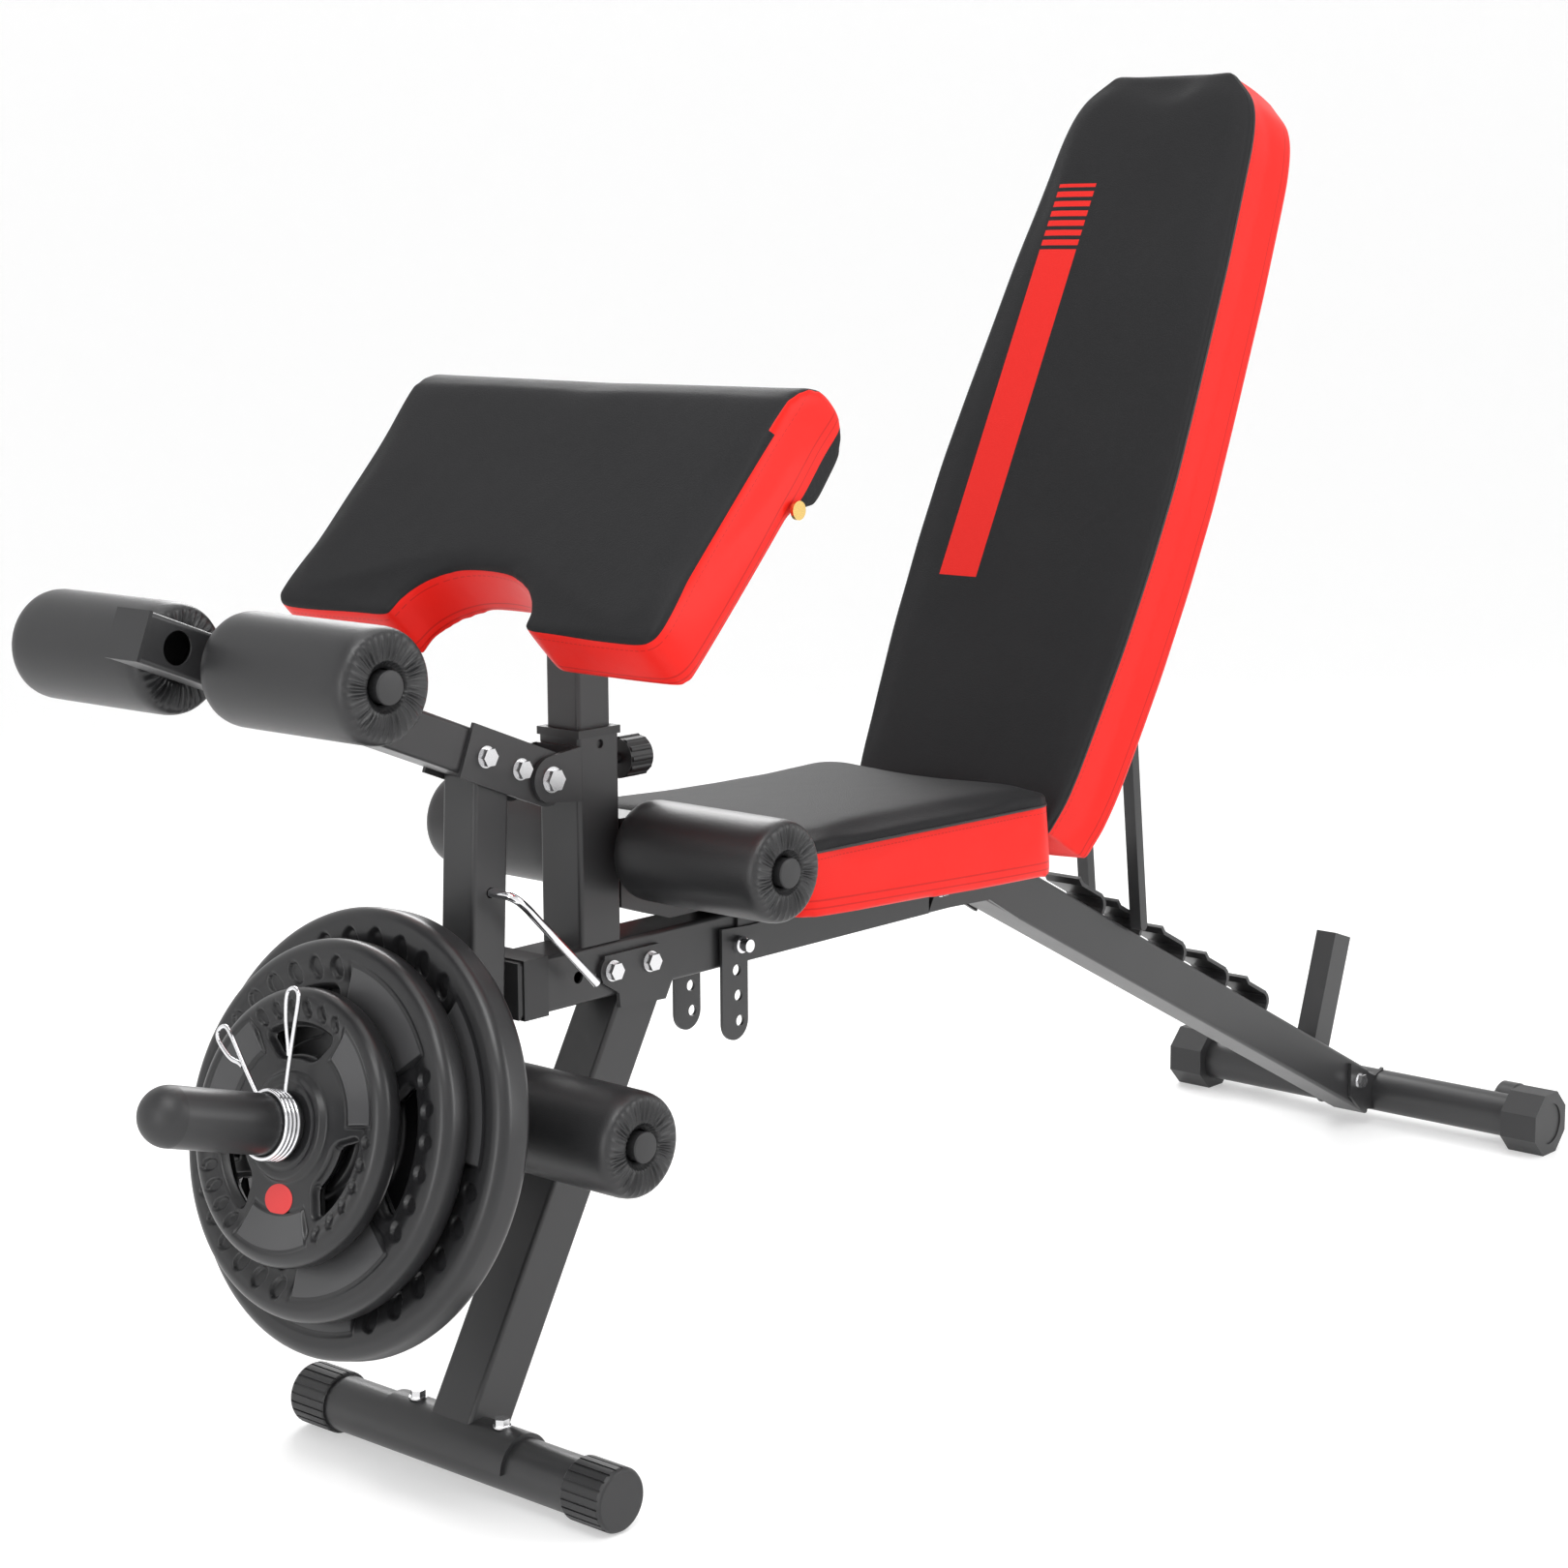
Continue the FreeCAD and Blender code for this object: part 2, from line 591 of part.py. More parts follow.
wx, wz, wy = D["wheel_x"], D["wheel_z"], D["wheel_y"]
ears = new_body("wheel_brackets")
for i, (y_in, y_out) in enumerate(((wy + 13, wy + 16), (wy - 16, wy - 13))):
    sketch = new_sketch(ears, f"side{i}")
    outline(sketch, [(rx + 15, rz + 20), (rx + 15, rz - 20), (wx, wz - 11), (wx, wz + 11)])
    both_ways(ears, "Pad", f"cheek{i}", sketch, y_out)
    sketch = new_sketch(ears, f"end{i}")
    circle(sketch, wx, wz, 11)
    both_ways(ears, "Pad", f"end_pad{i}", sketch, y_out)
    sketch = new_sketch(ears, f"gap{i}")
    outline(sketch, [(rx - 20, -20), (wx + 40, -20), (wx + 40, 90), (rx - 20, 90)])
    both_ways(ears, "Pocket", f"gap_cut{i}", sketch, y_in)
drill(ears, "tube_seat", [(rx, rz, foot_r)])
drill(ears, "axle_holes", [(wx, wz, 4.25)])
merged("rear_foot_brackets", foot_plates, ears)

axles = []
for side in (-1, 1):
    axles.append(bolt(f"axle{side + 1}", 4, 16, wx, wz, side * wy))
grouped("wheel_axles", axles)
for side, name in ((-1, "wheel_left"), (1, "wheel_right")):
    wr, wh = D["wheel_r"], D["wheel_half"]
    turned(name, [(4 + fit, -wh), (wr - 9, -wh), (wr - 8, 3 - wh), (wr - 5, 3 - wh),
                  (wr - 4, -wh), (wr - 2, -wh), (wr, 2 - wh), (wr, wh - 2), (wr - 2, wh),
                  (wr - 4, wh), (wr - 5, wh - 3), (wr - 8, wh - 3), (wr - 9, wh), (4 + fit, wh)],
           wx, side * wy, wz, V(1, 0, 0), -90)

# --- bolts that hold the frame together ---------------------------------------------
grouped("frame_bolts", [bolt(f"frame_bolt{i}", r_bolt, outer, x, z)
                        for i, (x, z) in enumerate(beam_bolts + [(815, 60)])]
        + saddle_bolts + [boss])
grouped("hinge_bolts", [bolt("arm_pivot", D["pivot_bolt_r"], D["ear_out"], px, pz),
                        bolt("recline", D["pivot_bolt_r"], outer, hx, hz),
                        bolt("seat_hinge", r_bolt, outer, tx, tz)])

# --- preacher post, bracket and pad -------------------------------------------------
cut = math.tan(math.radians(46.64))
post_top = 811.6
ih = D["inner_half"]
inner_post = box_tube("inner_post", frame(D["post_x"], D["inner_z0"], Dim(90.0)), 90,
                      ((0, 0), (post_top - D["inner_z0"] + ih * cut - 5.4,
                                post_top - D["inner_z0"] - ih * cut - 5.4)),
                      ih, ih, D["inner_wall"])

tilt = D["board_tilt"]
board_x, board_z = -sind(tilt) * D["board_n"], cosd(tilt) * D["board_n"]


def on_board(label, points, half):
    """A shape drawn in the board's own side view."""
    shape = slab(label, points, half)
    place(shape, board_x, 0, board_z, V(0, -1, 0), tilt)
    return shape


thick = D["board_thick"]
slab_top = -thick - 0.2
bracket = on_board("board_bracket", [(205, slab_top - 4), (298, slab_top - 4),
                   (298, slab_top), (205, slab_top)], 70)
merged("preacher_post", inner_post, bracket)

u0, u1, roll = D["board_u0"], D["board_u1"], D["roll_r"]
pad = new_body("preacher_pad")
sketch = new_sketch(pad, "side")
outline(sketch, [(u0, 0), (u1, 0), (u1, -2 * roll), (u1 - 42, -2 * roll), (u1 - 66, -thick),
                 (u0, -thick)])
both_ways(pad, "Pad", "board", sketch, D["board_half"])
sketch = new_sketch(pad, "roll")
circle(sketch, u1, -roll, roll)
both_ways(pad, "Pad", "roll_pad", sketch, D["board_half"])
sketch = new_sketch(pad, "notch", "XY_Plane")
notch_u, notch_half = D["notch_u"], D["notch_half"]
outline(sketch, [(u0 - 20, notch_half + 6), (u0 + 12, notch_half), (notch_u - 22, notch_half * 0.82),
                 (notch_u - 6, notch_half * 0.5), (notch_u, notch_half * 0.15),
                 (notch_u, -notch_half * 0.15), (notch_u - 6, -notch_half * 0.5),
                 (notch_u - 22, -notch_half * 0.82), (u0 + 12, -notch_half),
                 (u0 - 20, -notch_half - 6)])
both_ways(pad, "Pocket", "notch_cut", sketch, 200)
place(pad, board_x, 0, board_z, V(0, -1, 0), tilt)
doc.recompute()


def at_corner(edge, u, y, square_to):
    """True for an edge at one (u, y) corner that runs through the thickness."""
    a, b = edge.Vertexes[0].Point, edge.Vertexes[-1].Point
    return all(abs(p.x - u) < 0.1 and abs(abs(p.y) - y) < 0.1 for p in (a, b)) and square_to


soften(pad, 26, lambda e: at_corner(e, 119.6, 235, True))

buttons = []
for side in (-1, 1):
    stud = cylinder(f"button{side + 1}", 8, 3)
    place(stud, -440, side * D["board_half"], 840, V(1, 0, 0), -90 * side)
    buttons.append(stud)
grouped("pad_buttons", buttons)

kr, kx0, kx1 = D["knob_r"], D["knob_x0"], D["knob_x1"]
screw_tip = x_post + ih + 0.4
grips = []
knob_core = cylinder("knob_core", kr - 1.5, kx1 - kx0)
place(knob_core, kx0, 0, D["knob_z"], V(0, 1, 0), 90)
grips.append(knob_core)
rib_count = 12
for i in range(rib_count):
    turn = 2 * math.pi * i / rib_count
    rib = cylinder(f"knob_rib{i}", 3, kx1 - kx0 - 3)
    place(rib, kx0 + 1.5, (kr - 3) * math.cos(turn), D["knob_z"] + (kr - 3) * math.sin(turn),
          V(0, 1, 0), 90)
    grips.append(rib)
shaft = cylinder("knob_shaft", D["screw_r"], kx0 - screw_tip + 2)
place(shaft, screw_tip, 0, D["knob_z"], V(0, 1, 0), 90)
keep(fused("knob_fused", grips + [shaft]), "lock_knob")

# --- leg developer ------------------------------------------------------------------
ah, aw, bar_hole = D["arm_half"], D["arm_wall"], D["bar_r"] + D["bar_gap"]
dev_bolts = [upper_arm(D["dev_bolt_a"]), upper_arm(D["dev_bolt_b"])]
pivot_hole = (px, pz, D["pivot_bolt_r"] + fit)
bh = D["band_half"]
plate_pair("developer_plates", [upper_arm(0, -bh), upper_arm(D["band_long"], -bh),
                                upper_arm(D["band_long"], bh), upper_arm(0, bh)],
           D["band_in"], D["band_out"], [(px, pz, bh)],
           [pivot_hole] + [(x, z, r_bolt + slack) for x, z in dev_bolts])

box_tube("upper_arm", upper_arm, 180 - D["arm_tilt"].value,
         ((-20, -20), (D["arm_long"], D["arm_long"])), ah, ah, aw,
         [pivot_hole] + [(x, z, r_bolt + slack) for x, z in dev_bolts]
         + [upper_arm(D["upper_bar_s"]) + (bar_hole,),
            upper_arm(D["spare_hole_s"]) + (D["spare_hole_r"],)])
end = D["arm_long"] + D["arm_cap"]
tip_cap = slab("tip_cap", [upper_arm(D["arm_long"], -ah), upper_arm(end, -ah),
                           upper_arm(end, ah), upper_arm(D["arm_long"], ah)], ah)

box_tube("drop_arm", drop_arm, D["drop_tilt"].value, ((0, 0), (383.7, 398.8)), ah, ah, aw,
         [drop_arm(D["lower_bar_s"]) + (bar_hole,), drop_arm(D["rod_hole_s"]) + (4.7,),
          drop_arm(25) + (4.25,)])
foot_cap = slab("foot_cap", [drop_arm(-3, -ah), drop_arm(0, -ah), drop_arm(0, ah),
                             drop_arm(-3, ah)], ah)
merged("arm_caps", tip_cap, foot_cap)
x, z = drop_arm(25)
grouped("developer_bolts", [bolt(f"dev_bolt{i}", r_bolt, D["band_out"], *spot)
                            for i, spot in enumerate(dev_bolts)]
        + [bolt("drop_bolt", 4, ah, x, z)])


def cross_bar(label, x, z):
    """A round bar across the bench that carries a pair of foam rollers."""
    rod = cylinder(f"{label}_rod", D["bar_r"], 2 * D["bar_half"])
    place(rod, x, -D["bar_half"], z, V(1, 0, 0), -90)
    return keep(rod, label)


def foam_roller(label, x, z, side):
    """A foam sleeve with rounded ends, free to turn on its bar."""
    r, bore, y_in, y_out = D["roller_r"], D["bar_r"] + fit, D["roller_in"], D["roller_out"]
    return turned(label, [(bore, y_in), (r - 14, y_in), (r - 4, y_in + 4), (r, y_in + 12),
                          (r, y_out - 12), (r - 4, y_out - 4), (r - 14, y_out), (bore, y_out)],
                  x, 0, z, V(1, 0, 0), -90 * side)


roller_places = (("upper", upper_arm(D["upper_bar_s"])), ("lower", drop_arm(D["lower_bar_s"])),
                 ("knee", (D["knee_x"], D["knee_z"])))
bars = []
for name, (x, z) in roller_places:
    bars.append(cross_bar(f"{name}_roller_bar", x, z))
    for side, word in ((-1, "left"), (1, "right")):
        foam_roller(f"{name}_roller_{word}", x, z, side)
merged("developer_bars", bars[0], bars[1])


def rod_chain(name, points, radius):
    """A bent rod: straight pieces with a ball at every bend."""
    pieces = []
    for i, (a, b) in enumerate(zip(points, points[1:])):
        step = V(*b) - V(*a)
        piece = primitive("Cylinder", f"{name}_run{i}", Radius=radius, Height=step.Length)
        piece.Placement = FreeCAD.Placement(V(*a), FreeCAD.Rotation(V(0, 0, 1), step))
        pieces.append(piece)
    for i, point in enumerate(points[1:]):
        ball = primitive("Sphere", f"{name}_bend{i}", Radius=dim(radius) * 1.06)
        ball.Placement = FreeCAD.Placement(V(*point), FreeCAD.Rotation())
        pieces.append(ball)
    return pieces


rod_x, rod_z = drop_arm(D["rod_hole_s"])
rod_turn = math.radians(44)
start = (rod_x.value, -14, rod_z.value)
bend = (rod_x.value, -44, rod_z.value)
knee = (rod_x.value + 7, -48, rod_z.value - 5)
tip = (knee[0] + 125 * math.cos(rod_turn), -48, knee[2] - 125 * math.sin(rod_turn))
keep(fused("rod_fused", rod_chain("rod", [start, bend, knee, tip], D["rod_r"])), "lock_rod")

# --- weight peg, plates and collar --------------------------------------------------
peg_turn = 90 - D["peg_tilt"]
peg_bar_raw = cylinder("peg_bar_rod", D["bar_r"], 300)
place(peg_bar_raw, D["peg_x"], 0, D["peg_z"], V(0, -1, 0), peg_turn)
foot = primitive("Box", "peg_foot", Length=60, Width=39, Height=6)
x, z = drop_arm(55, ah)
place(foot, x, -19.5, z, V(0, -1, 0), D["drop_tilt"])
behind = primitive("Box", "peg_behind", Length=200, Width=80, Height=80)
x, z = drop_arm(-10, ah - 80)
place(behind, x, -40, z, V(0, -1, 0), D["drop_tilt"])
keep(minus("peg_bar_cut", fused("peg_bar_whole", [peg_bar_raw, foot]), behind), "peg_bar")

bore, s0, s1, pr = D["bar_r"], D["sleeve_s0"], D["sleeve_s1"], D["peg_r"]
turned("peg_sleeve", [(bore, s0), (pr + 8, s0), (pr + 8, s0 + 6), (pr, s0 + 6), (pr, s1),
                      (bore, s1)], D["peg_x"], 0, D["peg_z"], V(0, -1, 0), peg_turn)
dome = primitive("Sphere", "peg_dome", Radius=pr)
dome.Angle1, dome.Angle2 = 0, 90
x, z = peg(s1)
place(dome, x, 0, z, V(0, -1, 0), peg_turn)
keep(dome, "peg_cap")


def weight_plate(label, radius, s_low, thick, turn):
    """A rubber weight plate with three hand grips."""
    t, r, step = thick, radius, thick * 0.18
    hub, rim = radius * 0.3 + 12, radius * 0.8
    plate = turned(label, [
        (pr + fit, s_low), (hub, s_low), (hub + 3, s_low + step), (rim, s_low + step),
        (rim + 4, s_low), (r - 7, s_low), (r - 2, s_low + 3), (r, s_low + 8),
        (r, s_low + t - 8), (r - 2, s_low + t - 3), (r - 7, s_low + t), (rim + 4, s_low + t),
        (rim, s_low + t - step), (hub + 3, s_low + t - step), (hub, s_low + t),
        (pr + fit, s_low + t)], D["peg_x"], 0, D["peg_z"], V(0, -1, 0), peg_turn)
    sketch = new_sketch(plate, "grips", "XY_Plane")
    inside, outside, reach = radius * 0.5, radius * 0.77, 33
    for k in range(3):
        mid = turn + 120 * k
        arc = [(outside, mid - reach + 66 * j / 6) for j in range(7)]
        arc += [(inside, mid + 24), (inside, mid + 8), (inside, mid - 8), (inside, mid - 24)]
        outline(sketch, [(r_ * math.cos(math.radians(a)), r_ * math.sin(math.radians(a)))
                         for r_, a in arc])
    both_ways(plate, "Pocket", "grip_cut", sketch, 400)
    return plate


weight_plate("plate_large", 187, 98, 37, -5)
weight_plate("plate_medium", 157, 136, 32, 30)
weight_plate("plate_small", 114, 169, 28, 5)

c0, c1, cr = D["collar_s0"], D["collar_s1"], D["collar_r"]
collar = turned("spring_collar", [
    (pr + fit, c0), (cr, c0), (cr, c0 + 5), (cr - 1.5, c0 + 6), (cr, c0 + 7), (cr, c0 + 13),
    (cr - 1.5, c0 + 14), (cr, c0 + 15), (cr, c1), (pr + fit, c1)],
    D["peg_x"], 0, D["peg_z"], V(0, -1, 0), peg_turn)
for i, (turn, height, far) in enumerate(((3, 203, 112), (48, 212, 100))):
    ca, sa = math.cos(math.radians(turn)), math.sin(math.radians(turn))
    sketch = new_sketch(collar, f"loop{i}", "XY_Plane")
    sketch.AttachmentOffset = FreeCAD.Placement(V(0, 0, height), FreeCAD.Rotation())
    for path in (((27, 4.5), (far - 12, 10.5), (far - 2, 7), (far + 1, 0)),
                 ((38, 1.4), (far - 13, 6), (far - 5, 4), (far - 3.5, 0.3))):
        ring = [(u, -w) for u, w in path] + [(u, w) for u, w in path[::-1]]
        ring = [point for k, point in enumerate(ring) if k == 0 or point != ring[k - 1]]
        outline(sketch, [(u * ca - w * sa, u * sa + w * ca) for u, w in ring])
    doc.recompute()
    handle = collar.newObject("PartDesign::Pad", f"collar_handle{i}")
    handle.Profile = sketch
    handle.Length = 4.4
    doc.recompute()

# --- seat ---------------------------------------------------------------------------
win, wout = D["wall_in"], D["wall_out"]
carrier = slab("seat_carrier", [(-288, 402), (-11, 402), (-11, 466), (-288, 466)], wout, (), (),
               [(-340, 380), (20, 380), (20, 463), (-340, 463)], win)
sketch = new_sketch(carrier, "tongue")
outline(sketch, [(-30, 452), (tx, tz - 8.6), (tx, tz + 8.6), (-30, 464)])
both_ways(carrier, "Pad", "tongue_pad", sketch, 24.5)
sketch = new_sketch(carrier, "barrel")
circle(sketch, tx, tz, 8.7)
both_ways(carrier, "Pad", "barrel_pad", sketch, 24.5)
drill(carrier, "hinge", [(tx, tz, r_bolt + fit)])

tab0, tab1, pin_r = D["tab_x0"], D["tab_x1"], D["pin_hole_r"]
tab_mid = (tab0 + tab1) * 0.5
plate_pair("seat_tabs", [(tab0, 347.5), (tab1, 347.5), (tab1, 402), (-11, 402), (-11, 435),
                         (tab1, 435), (tab0, 437)], wout, D["tab_out"],
           [(tab_mid, 347.5, (tab1 - tab0) * 0.5)],
           [(-290.5, 420, pin_r), (-293, 395.7, pin_r), (-291, 371.6, pin_r),
            (-289, 347.3, pin_r)])

kx, kz = D["knee_x"], D["knee_z"]
slab("seat_front_frame", [(kx - 14, 476), (-370, 456.2), (-288, 456.2), (-288, 462.9),
                          (-288, 486), (kx + 20, 486), (kx + 20, 556), (kx - 14, 556)],
     20, (), [(kx, kz, bar_hole)])

sx0, sx1, sh = D["seat_x0"], D["seat_x1"], D["seat_half"]
seat = slab("seat_pad", [(sx0, D["seat_bot0"]), (sx1, D["seat_bot1"]), (sx1, D["seat_top1"]),
                         (sx0, D["seat_top0"])], sh)
soften(seat, 22, lambda e: all(abs(abs(p.Point.y) - 155) < 0.1 for p in e.Vertexes)
       and abs(e.Vertexes[0].Point.x - e.Vertexes[-1].Point.x) < 0.1)
soften(seat, 12, lambda e: min(p.Point.z for p in e.Vertexes) > 520)
for tag, pts, half in (
        ("front_way", [(sx0 - 5, 440), (-287.5, 440), (-287.5, 486.4), (sx0 - 5, 486.4)], 20.4),
        ("channel_way", [(-300, 440), (0, 440), (0, 466), (-300, 466)], 34),
        ("hinge_way", [(-2, 440), (sx1 + 5, 440), (sx1 + 5, 472), (-2, 472)], 44)):
    sketch = new_sketch(seat, tag)
    outline(sketch, pts)
    both_ways(seat, "Pocket", f"{tag}_cut", sketch, half)

turned("seat_pin", [(ZERO, 28.8), (pin_r - 0.08, 28.8), (pin_r - 0.08, 32), (8, 32), (8, 37),
                    (6, 38), (6, 46), (ZERO, 46)], -290.5, 0, 420, V(1, 0, 0), 90)

# --- backrest and prop --------------------------------------------------------------
rh, rt, rl, rlong = D["rail_half"], D["rail_top"], D["rail_low"], D["rail_long"]
prop_hole = D["pivot_bolt_r"] - 1
slab("backrest_rail",
     [back(16, -14), back(34, -rl), back(rlong, -rl), back(rlong, rt), back(16, rt)], rh, (),
     [back(D["prop_s"], D["prop_n"]) + (prop_hole + slack,)],
     [back(-40, 2 - rl), back(rlong + 60, 2 - rl), back(rlong + 60, rt - 2),
      back(-40, rt - 2)], rh - 2)
lugs = plate_pair("backrest_lugs", [back(0, -10), back(60, -16), back(60, 4), back(0, 5.5)],
           20, 24.8, [(hx, hz, 11)], [(hx, hz, D["pivot_bolt_r"] + fit)])
slab("rail_cap", [back(rlong, -rl), back(rlong + 3, -rl), back(rlong + 3, rt), back(rlong, rt)],
     rh)

straps = []
for i, s in enumerate((140, 600)):
    for side in (-1, 1):
        strap = primitive("Box", f"strap{i}{side + 1}", Length=50, Width=80, Height=3)
        x, z = back(s, rt - 3)
        place(strap, x, rh if side > 0 else -rh - 80, z, V(0, -1, 0), D["back_tilt"])
        straps.append(strap)
merged("backrest_brackets", lugs, *straps)

back_outline = [(-20, 128), (-8, 136), (40, 142), (100, 146), (180, 152), (270, 155), (360, 155),
                (450, 149), (600, 139), (743, 127), (790, 115), (815, 96), (826, 68)]
pad = new_body("backrest_pad")
sketch = new_sketch(pad, "face", "XY_Plane")
outline(sketch, [(u, -w) for u, w in back_outline] + [(u, w) for u, w in back_outline[::-1]])
doc.recompute()
body = pad.newObject("PartDesign::Pad", "backrest_pad_solid")
body.Profile = sketch
bind(body, "Length", D["back_thick"] + 6 - rt)
doc.recompute()
place(pad, hx, 0, hz, V(0, -1, 0), D["back_tilt"])
x, z = back(0, rt)
place(pad, x, 0, z, V(0, -1, 0), D["back_tilt"])
doc.recompute()
soften(pad, 14, lambda e: min(p.Point.z for p in e.Vertexes) > 80)
sketch = new_sketch(pad, "recess")
outline(sketch, [(-60, -10), (22, -10), (22, 14), (-60, 14)])
both_ways(pad, "Pocket", "recess_cut", sketch, 44)

prop_x, prop_z = back(D["prop_s"], D["prop_n"])
prop = frame(prop_x, prop_z, D["prop_tilt"])
ph = D["prop_half"]
plate_pair("prop_bars", [prop(0, -ph), prop(D["prop_long"], -ph), prop(D["prop_long"], ph),
                         prop(0, ph)], D["prop_in"], D["prop_out"],
           [(prop_x, prop_z, ph + 4), prop(D["prop_long"]) + (ph,)],
           [(prop_x, prop_z, prop_hole + fit)])
spacers = []
for side in (-1, 1):
    tube = minus(f"spacer{side + 1}", cylinder(f"spacer{side + 1}_out", 9, 5.7, rh),
                 cylinder(f"spacer{side + 1}_in", prop_hole + slack, 8, rh - 1))
    place(tube, prop_x, 0, prop_z, V(1, 0, 0), -90 * side)
    spacers.append(tube)
grouped("prop_pivot", spacers + [bolt("prop_pin", prop_hole, D["prop_out"] + 0.2, prop_x, prop_z)])

# --- write every part ---------------------------------------------------------------
doc.recompute()
for obj in doc.Objects:
    if {"Invalid", "Error"} & set(obj.State):
        raise RuntimeError(f"{obj.Name} failed: {obj.State}")
for obj in nodes:
    if obj.Shape.isNull() or not obj.Shape.isValid() or not obj.Shape.Solids:
        raise RuntimeError(f"{obj.Label} has no sound solid")
    obj.Shape.exportStep(f"parts/{obj.Label}.step")
print(len(nodes), "parts")
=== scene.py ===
import json
import math

import bmesh
import bpy
import numpy as np
from mathutils import Matrix, Vector
from mathutils.bvhtree import BVHTree


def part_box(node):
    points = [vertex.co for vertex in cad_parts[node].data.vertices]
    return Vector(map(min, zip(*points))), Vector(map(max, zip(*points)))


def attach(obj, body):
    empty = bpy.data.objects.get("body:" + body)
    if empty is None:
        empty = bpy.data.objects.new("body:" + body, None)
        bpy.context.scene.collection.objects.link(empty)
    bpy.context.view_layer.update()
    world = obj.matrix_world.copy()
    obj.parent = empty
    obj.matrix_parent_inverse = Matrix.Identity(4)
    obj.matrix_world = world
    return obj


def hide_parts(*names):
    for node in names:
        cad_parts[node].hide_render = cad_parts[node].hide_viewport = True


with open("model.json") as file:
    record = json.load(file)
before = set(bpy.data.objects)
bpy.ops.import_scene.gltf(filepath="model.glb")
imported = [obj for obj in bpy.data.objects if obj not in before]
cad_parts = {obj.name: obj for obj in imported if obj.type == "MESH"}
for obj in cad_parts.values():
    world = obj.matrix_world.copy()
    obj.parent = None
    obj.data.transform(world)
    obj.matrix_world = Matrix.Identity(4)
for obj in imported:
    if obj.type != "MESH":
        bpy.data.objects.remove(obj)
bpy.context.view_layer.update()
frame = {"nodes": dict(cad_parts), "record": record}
rng = np.random.default_rng(7)

# lines of the slanted members in the side view, in metres and degrees
HINGE = Vector((0.146, 0, 0.458))
BACK_TILT, BOARD_TILT, PEG_TILT = 63.0, 46.64, 16.0
PEG = Vector((-0.617, 0, 0.300))


# ---------------------------------------------------------------- materials
def new_material(name):
    m = bpy.data.materials.new(name)
    m.use_nodes = True
    tree = m.node_tree
    return m, tree, tree.nodes["Principled BSDF"]


def link(tree, a, b):
    tree.links.new(a, b)


def math_node(tree, op, a, b=None, clamp=False):
    n = tree.nodes.new("ShaderNodeMath")
    n.operation, n.use_clamp = op, clamp
    for i, v in enumerate((a, b)):
        if v is None:
            continue
        if isinstance(v, (int, float)):
            n.inputs[i].default_value = v
        else:
            link(tree, v, n.inputs[i])
    return n.outputs[0]


def add_bump(tree, bsdf, height, strength, distance, under=None):
    b = tree.nodes.new("ShaderNodeBump")
    b.inputs["Strength"].default_value = strength
    b.inputs["Distance"].default_value = distance
    link(tree, height, b.inputs["Height"])
    if under is not None:
        link(tree, under, b.inputs["Normal"])
    link(tree, b.outputs["Normal"], bsdf.inputs["Normal"])
    return b.outputs["Normal"]


def texture(tree, kind, coords, scale, **inputs):
    n = tree.nodes.new(f"ShaderNodeTex{kind}")
    n.inputs["Scale"].default_value = scale
    for key, value in inputs.items():
        n.inputs[key].default_value = value
    link(tree, coords, n.inputs["Vector"])
    return n


def plain(name, color, rough, metallic=0.0, grain=0.0, grain_scale=900, mottle=0.06, coat=0.0):
    """A one-colour finish with a little unevenness in its gloss and a fine grain."""
    m, tree, bsdf = new_material(name)
    bsdf.inputs["Base Color"].default_value = (*color, 1)
    bsdf.inputs["Metallic"].default_value = metallic
    bsdf.inputs["Coat Weight"].default_value = coat
    where = tree.nodes.new("ShaderNodeTexCoord").outputs["Object"]
    cloud = texture(tree, "Noise", where, 18.0, Detail=3.0)
    spread = math_node(tree, "MULTIPLY", cloud.outputs["Fac"], mottle)
    link(tree, math_node(tree, "ADD", spread, rough - mottle / 2), bsdf.inputs["Roughness"])
    if grain:
        fine = texture(tree, "Noise", where, grain_scale, Detail=2.0)
        add_bump(tree, bsdf, fine.outputs["Fac"], grain, 0.0003)
    return m


def hide_color(tree, color, deep):
    """Vinyl colour that varies slightly over the piece."""
    mix = tree.nodes.new("ShaderNodeMix")
    mix.data_type = "RGBA"
    mix.inputs["A"].default_value = (*color, 1)
    mix.inputs["B"].default_value = (*deep, 1)
    return mix


RED, RED_DEEP = (0.80, 0.014, 0.008), (0.66, 0.010, 0.006)
BLACK, BLACK_DEEP = (0.014, 0.014, 0.015), (0.010, 0.010, 0.011)
PRINT_RED, SEAM_RED = (0.62, 0.016, 0.012), (0.22, 0.004, 0.003)
STITCHES = 190.0        # in a metre
PRINT_BARS = 7          # bars at the end of the printed band
FACE_WRAP = 0.62        # how far a roll's side may lean and still be face cover


